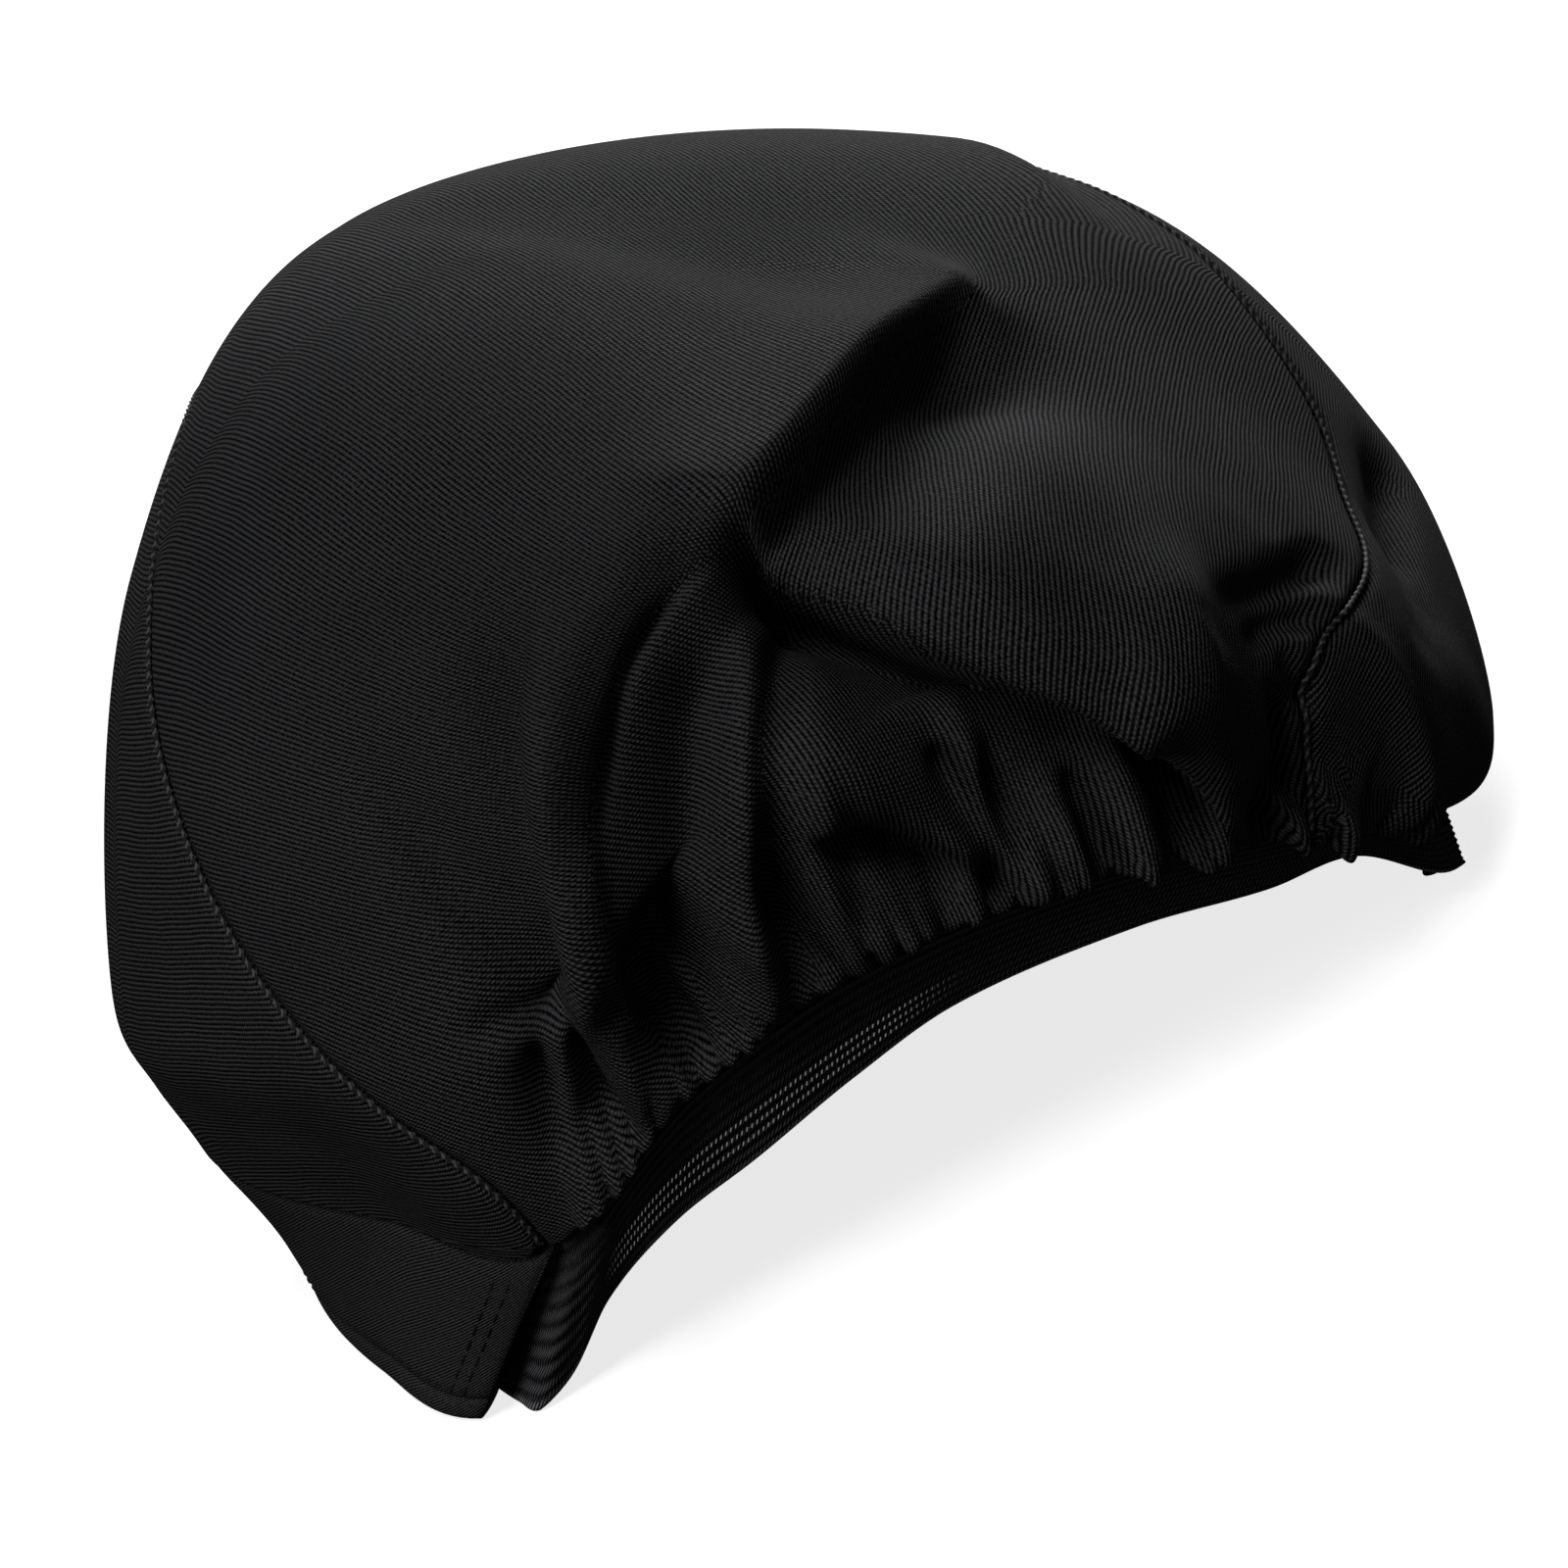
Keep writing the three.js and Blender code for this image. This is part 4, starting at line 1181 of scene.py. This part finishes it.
class CAP_OT_front_band(bpy.types.Operator):
    """Build the folded front band with its rolled lower hem"""

    bl_idname = "cap.front_band"
    bl_label = "Front Band"

    def execute(self, context):
        low, top = band_edges(np.linspace(0, 1, BAND_STEPS + 1))
        points, flat = swept(low, top, BAND_PROFILE, BAND_AROUND)
        bm = close_sweep(grid_bmesh(points, *one_set(straight_ribs(flat, BAND_RIBS))))
        new_piece("front_band_cloth", bm, "front_band", "band_cloth")
        return {"FINISHED"}


def elastic_hem(turn):
    """Places on the elastic's lower edge, which stays on the floor at its ends."""
    return polar(turn, elastic_hem_out(turn), np.maximum(0, elastic_hem_up(turn)))


def elastic_edges(steps):
    """The elastic's lower and top edges, from right to left."""
    return strip_edges(steps, ELASTIC_LOW_TURNS, ELASTIC_TOP_TURNS,
                       elastic_hem, LEFT_TUCK, LEFT_TUCK_TURNS)


# Height of the elastic in its weave, and what is added on its inner face, so that the two faces differ
ELASTIC_HEIGHT = 15.0
ELASTIC_INSIDE = 40.0
ELASTIC_STEPS = 220
ELASTIC_AROUND = 150
ELASTIC_RIBS = 9
RIB_HEIGHT = 0.16


def elastic_profile():
    """Outer face with lengthwise ribs and a rolled lower edge, then the plain inner face."""
    rises = np.linspace(0.1, 0.985, 73)
    ribs = RIB_HEIGHT - RIB_HEIGHT * np.cos(2 * math.pi * ELASTIC_RIBS * (rises - 0.1) / 0.885)
    rows = [(0.7, 0.0), (0.15, 0.015), (-0.1, 0.05), (0.25, 0.085)]
    rows += list(zip(ribs * 0.9 + 0.05, rises))
    rows += [(0.6, 1.0), (1.6, 1.01), (1.8, 1.09), (2.3, 1.09), (2.1, 0.95), (1.5, 0.85)]
    rows += [(1.4, 0.5), (1.4, 0.1), (1.2, 0.01)]
    return table("inward rise", rows)


class CAP_OT_elastic(bpy.types.Operator):
    """Build the ribbed elastic at the nape"""

    bl_idname = "cap.elastic"
    bl_label = "Elastic"

    def execute(self, context):
        low, top = elastic_edges(np.linspace(0, 1, ELASTIC_STEPS + 1))
        points, flat = swept(low, top, elastic_profile(), ELASTIC_AROUND, heights=True)
        bm = close_sweep(grid_bmesh(points, *one_set(flat)))
        new_piece("elastic_ribbed", bm, "elastic_band", "elastic_yarn")
        return {"FINISHED"}


CORD_STEPS = 900
CORD_END = 0.985
CORD_SUNK = 0.25
CORD_AROUND = 8
CORD_STRANDS = 2
STRAND_BULGE = 0.34


def cord_points(path, normals, radius, twist):
    """A twisted cord along a path: its section has as many lobes as strands and turns along the way."""
    along = unit(np.gradient(path, axis=0))
    side = unit(np.cross(along, normals))
    out = unit(np.cross(side, along))
    length = path_lengths(path)
    angle = np.linspace(0, 2 * math.pi, CORD_AROUND + 1)[None, :]
    lobes = 1 + STRAND_BULGE * np.cos(CORD_STRANDS * (angle - twist * length[:, None]))
    ends = np.minimum(1, np.minimum(length, length[-1] - length)[:, None] / radius + 0.05)
    size = (radius * lobes * np.sqrt(ends))[..., None]
    across = side[:, None] * np.cos(angle)[..., None]
    outward = out[:, None] * np.sin(angle)[..., None]
    points = path[:, None] + (across + outward) * size
    flat = np.stack(np.broadcast_arrays(length[:, None], angle * radius), -1)
    return points, flat


class CAP_OT_seams(bpy.types.Operator):
    """Build the cords that cover the two seams of the crown"""

    bl_idname = "cap.seams"
    bl_label = "Seams"

    def execute(self, context):
        radius = context.scene.cap_sizes.seam_cord / MM
        for name, across, node, twist in (
            ("left_seam_cord", 1.0, "side_panel_left", 2.6),
            ("right_seam_cord", 0.0, "side_panel_right", 1.75),
        ):
            along = np.linspace(CORD_END, -CORD_END, CORD_STEPS)
            places = centre_place(np.full(len(along), across), along)
            normals = outward_normal(smooth_crown, places)
            path = crown(places) - normals * CORD_SUNK
            points, flat = cord_points(path, normals, radius, twist)
            bm = close_sweep(grid_bmesh(points, *one_set(flat)))
            new_piece(name, bm, node, "sewing_thread")
        return {"FINISHED"}


STITCH_GAP = 0.9
STITCH_RADIUS = 0.2
# Steps along the band at which the two rows at its end go up, and how far up the band the hem's row is
END_ROWS = (5, 8)
HEM_ROW = 0.2


def stitch_row(bm, path, outward, length):
    """Small rounded stitches along a path, each a few faces, added to one bmesh."""
    reach = path_lengths(path)

    def at(values, place):
        return np.array([np.interp(place, reach, values[:, axis]) for axis in range(3)])

    for start in np.arange(STITCH_GAP / 2, reach[-1] - length, length + STITCH_GAP):
        middle = start + length / 2
        centre = at(path, middle)
        out = at(outward, middle)
        forward = unit(at(path, middle + 0.4) - centre)
        side = unit(np.cross(forward, out))
        out = np.cross(side, forward)
        made = bmesh.ops.create_uvsphere(bm, u_segments=6, v_segments=5, radius=1.0)
        for vertex in made["verts"]:
            x, y, z = vertex.co
            place = (centre + forward * (z * length / 2) + side * (x * STITCH_RADIUS)
                     + out * (y * STITCH_RADIUS * 0.8))
            vertex.co = (place + CAP_PLACE) * MM


class CAP_OT_stitches(bpy.types.Operator):
    """Build the topstitching on the band's left end and along its hem"""

    bl_idname = "cap.stitches"
    bl_label = "Stitches"

    def execute(self, context):
        length = context.scene.cap_sizes.stitch_length / MM
        bm = bmesh.new()
        bm.loops.layers.uv.new("cloth")
        low, top = band_edges(np.linspace(0, 1, 2 * BAND_STEPS + 1))
        inward = unit(np.cross(np.gradient(low, axis=0), top - low))
        rise = np.linspace(0.16, 0.96, 40)[:, None]
        for step in END_ROWS:
            path = low[step] + (top[step] - low[step]) * rise - inward[step] * 0.05
            stitch_row(bm, path, np.broadcast_to(-inward[step], path.shape), length)
        hem = low + (top - low) * HEM_ROW - inward * 0.02
        stitch_row(bm, hem[4:-4], -inward[4:-4], length)
        bmesh.ops.recalc_face_normals(bm, faces=bm.faces[:])
        new_piece("band_topstitch", bm, "front_band", "sewing_thread")
        return {"FINISHED"}


SENSOR_WIDTH = 36.0
FLOOR_RADIUS = 6.0
LIGHT_SIZE = 0.5
LIGHT_DISTANCE = 1.3


class CapStage(bpy.types.PropertyGroup):
    """Where the camera stands, and the light."""

    azimuth: angle_property("Azimuth", "Camera's turn around the cap, from its front", 175)
    elevation: angle_property("Elevation", "Camera's height angle", 22)
    roll: angle_property("Roll", "Camera's turn about its own line of sight", 27.5)
    distance: length_property("Distance", "Camera's distance from the middle of the cap", 1.0, 0.2, 10.0)
    aim_height: length_property("Aim height", "Height that the camera looks at", 0.041, 0.0, 1.0)
    lens: FloatProperty(
        name="Lens", description="Focal length in millimetres on a 36 mm sensor", default=157.5)
    key_power: power_property("Key light", "Power of the soft light above the camera at its left", 8.5)
    back_power: power_property("Back light", "Power of the soft light above and behind the cap", 22.0)
    side_power: power_property("Side light", "Power of the soft light in front, at the left", 5.0)
    world_strength: power_property("Surroundings", "Brightness of the white surroundings", 0.055)


def add_camera(place, right, up, away, lens):
    """A camera at a place, with its own right, its own up and the way from the cap to it."""
    data = bpy.data.cameras.new("camera")
    data.lens = lens
    data.sensor_width = SENSOR_WIDTH
    data.clip_end = 20.0
    camera = added("camera", data)
    camera.matrix_world = Matrix((
        (right[0], up[0], away[0], place[0]),
        (right[1], up[1], away[1], place[1]),
        (right[2], up[2], away[2], place[2]),
        (0.0, 0.0, 0.0, 1.0),
    ))
    bpy.context.scene.camera = camera


def add_floor():
    """White paper that glows a little for the camera and throws no light back on the cap."""
    bm = bmesh.new()
    bmesh.ops.create_circle(bm, cap_ends=True, cap_tris=False, segments=96, radius=FLOOR_RADIUS)
    mesh = bpy.data.meshes.new("floor")
    bm.to_mesh(mesh)
    bm.free()
    floor = added("floor", mesh)
    paper = Graph("white_paper")
    noise = paper.node("ShaderNodeTexNoise", None, Scale=60.0, Detail=2.0)
    tone = paper.mix(noise, (0.36, 0.36, 0.36, 1.0), (0.38, 0.38, 0.38, 1.0))
    mesh.materials.append(paper.finish(tone, 0.95, noise, 0.02))
    paper.shader.inputs["Emission Color"].default_value = (1.0, 1.0, 1.0, 1.0)
    paper.shader.inputs["Emission Strength"].default_value = 0.8
    floor.visible_diffuse = False
    floor.visible_glossy = False


def add_surroundings(brightness):
    """Surroundings that are white to the camera and light the cap only a little."""
    world = bpy.data.worlds.new("white_surroundings")
    world.use_nodes = True
    background = world.node_tree.nodes["Background"]
    background.inputs["Color"].default_value = (1.0, 1.0, 1.0, 1.0)
    seen = world.node_tree.nodes.new("ShaderNodeLightPath")
    strength = world.node_tree.nodes.new("ShaderNodeMix")
    strength.inputs["A"].default_value = brightness
    strength.inputs["B"].default_value = 1.0
    world.node_tree.links.new(seen.outputs["Is Camera Ray"], strength.inputs["Factor"])
    world.node_tree.links.new(strength.outputs["Result"], background.inputs["Strength"])
    bpy.context.scene.world = world


def add_light(name, aim, toward, power):
    """A soft round light that looks at the cap, some way from it."""
    light = bpy.data.lights.new(name, "AREA")
    light.shape = "DISK"
    light.size = LIGHT_SIZE
    light.energy = power
    lamp = added(name, light)
    lamp.location = Vector(aim + toward * LIGHT_DISTANCE)
    lamp.rotation_euler = Vector(-toward).to_track_quat("-Z", "Y").to_euler()


class CAP_OT_stage(bpy.types.Operator):
    """Build the pale floor, the soft lights and the camera"""

    bl_idname = "cap.stage"
    bl_label = "Stage"

    def execute(self, context):
        stage = context.scene.cap_stage
        aim = np.array([CAP_PLACE[0] * MM, CAP_PLACE[1] * MM, stage.aim_height])
        away = np.array([
            math.sin(stage.azimuth) * math.cos(stage.elevation),
            -math.cos(stage.azimuth) * math.cos(stage.elevation),
            math.sin(stage.elevation),
        ])
        level = unit(np.cross(-away, [0, 0, 1.0]))
        upright = np.cross(level, -away)
        right = math.cos(stage.roll) * level - math.sin(stage.roll) * upright
        up = math.sin(stage.roll) * level + math.cos(stage.roll) * upright

        add_camera(aim + away * stage.distance, right, up, away, stage.lens)
        add_floor()
        add_surroundings(stage.world_strength)
        for name, way, power in (
            ("key_light", up * 0.5 + away * 0.85 - right * 0.4, stage.key_power),
            ("back_light", up * 0.8 - away * 0.6, stage.back_power),
            ("side_light", away * 0.65 - up * 0.05 - right * 0.75, stage.side_power),
        ):
            add_light(name, aim, unit(way), power)
        context.scene.view_settings.view_transform = "Standard"
        return {"FINISHED"}


class CAP_PT_panel(bpy.types.Panel):
    """Sizes, colours and steps of the cap"""

    bl_idname = "CAP_PT_panel"
    bl_label = "Skull Cap"
    bl_space_type = "VIEW_3D"
    bl_region_type = "UI"
    bl_category = "Skull Cap"

    def draw(self, context):
        for group in (context.scene.cap_sizes, context.scene.cap_look, context.scene.cap_stage):
            for name in group.bl_rna.properties.keys():
                if name not in {"rna_type", "name"}:
                    self.layout.prop(group, name)
        for step in STEPS:
            self.layout.operator(step.bl_idname)


STEPS = (
    CAP_OT_centre_panel,
    CAP_OT_side_panels,
    CAP_OT_front_band,
    CAP_OT_elastic,
    CAP_OT_seams,
    CAP_OT_stitches,
    CAP_OT_stage,
)
CLASSES = (CapSizes, CapLook, CapStage) + STEPS + (CAP_PT_panel,)


def register():
    for kind in CLASSES:
        bpy.utils.register_class(kind)
    bpy.types.Scene.cap_sizes = PointerProperty(type=CapSizes)
    bpy.types.Scene.cap_look = PointerProperty(type=CapLook)
    bpy.types.Scene.cap_stage = PointerProperty(type=CapStage)


def unregister():
    for kind in reversed(CLASSES):
        bpy.utils.unregister_class(kind)
    del bpy.types.Scene.cap_sizes
    del bpy.types.Scene.cap_look
    del bpy.types.Scene.cap_stage


def main():
    register()
    bpy.ops.cap.centre_panel()
    bpy.ops.cap.side_panels()
    bpy.ops.cap.front_band()
    bpy.ops.cap.elastic()
    bpy.ops.cap.seams()
    bpy.ops.cap.stitches()
    bpy.ops.cap.stage()


if __name__ == "__main__":
    main()
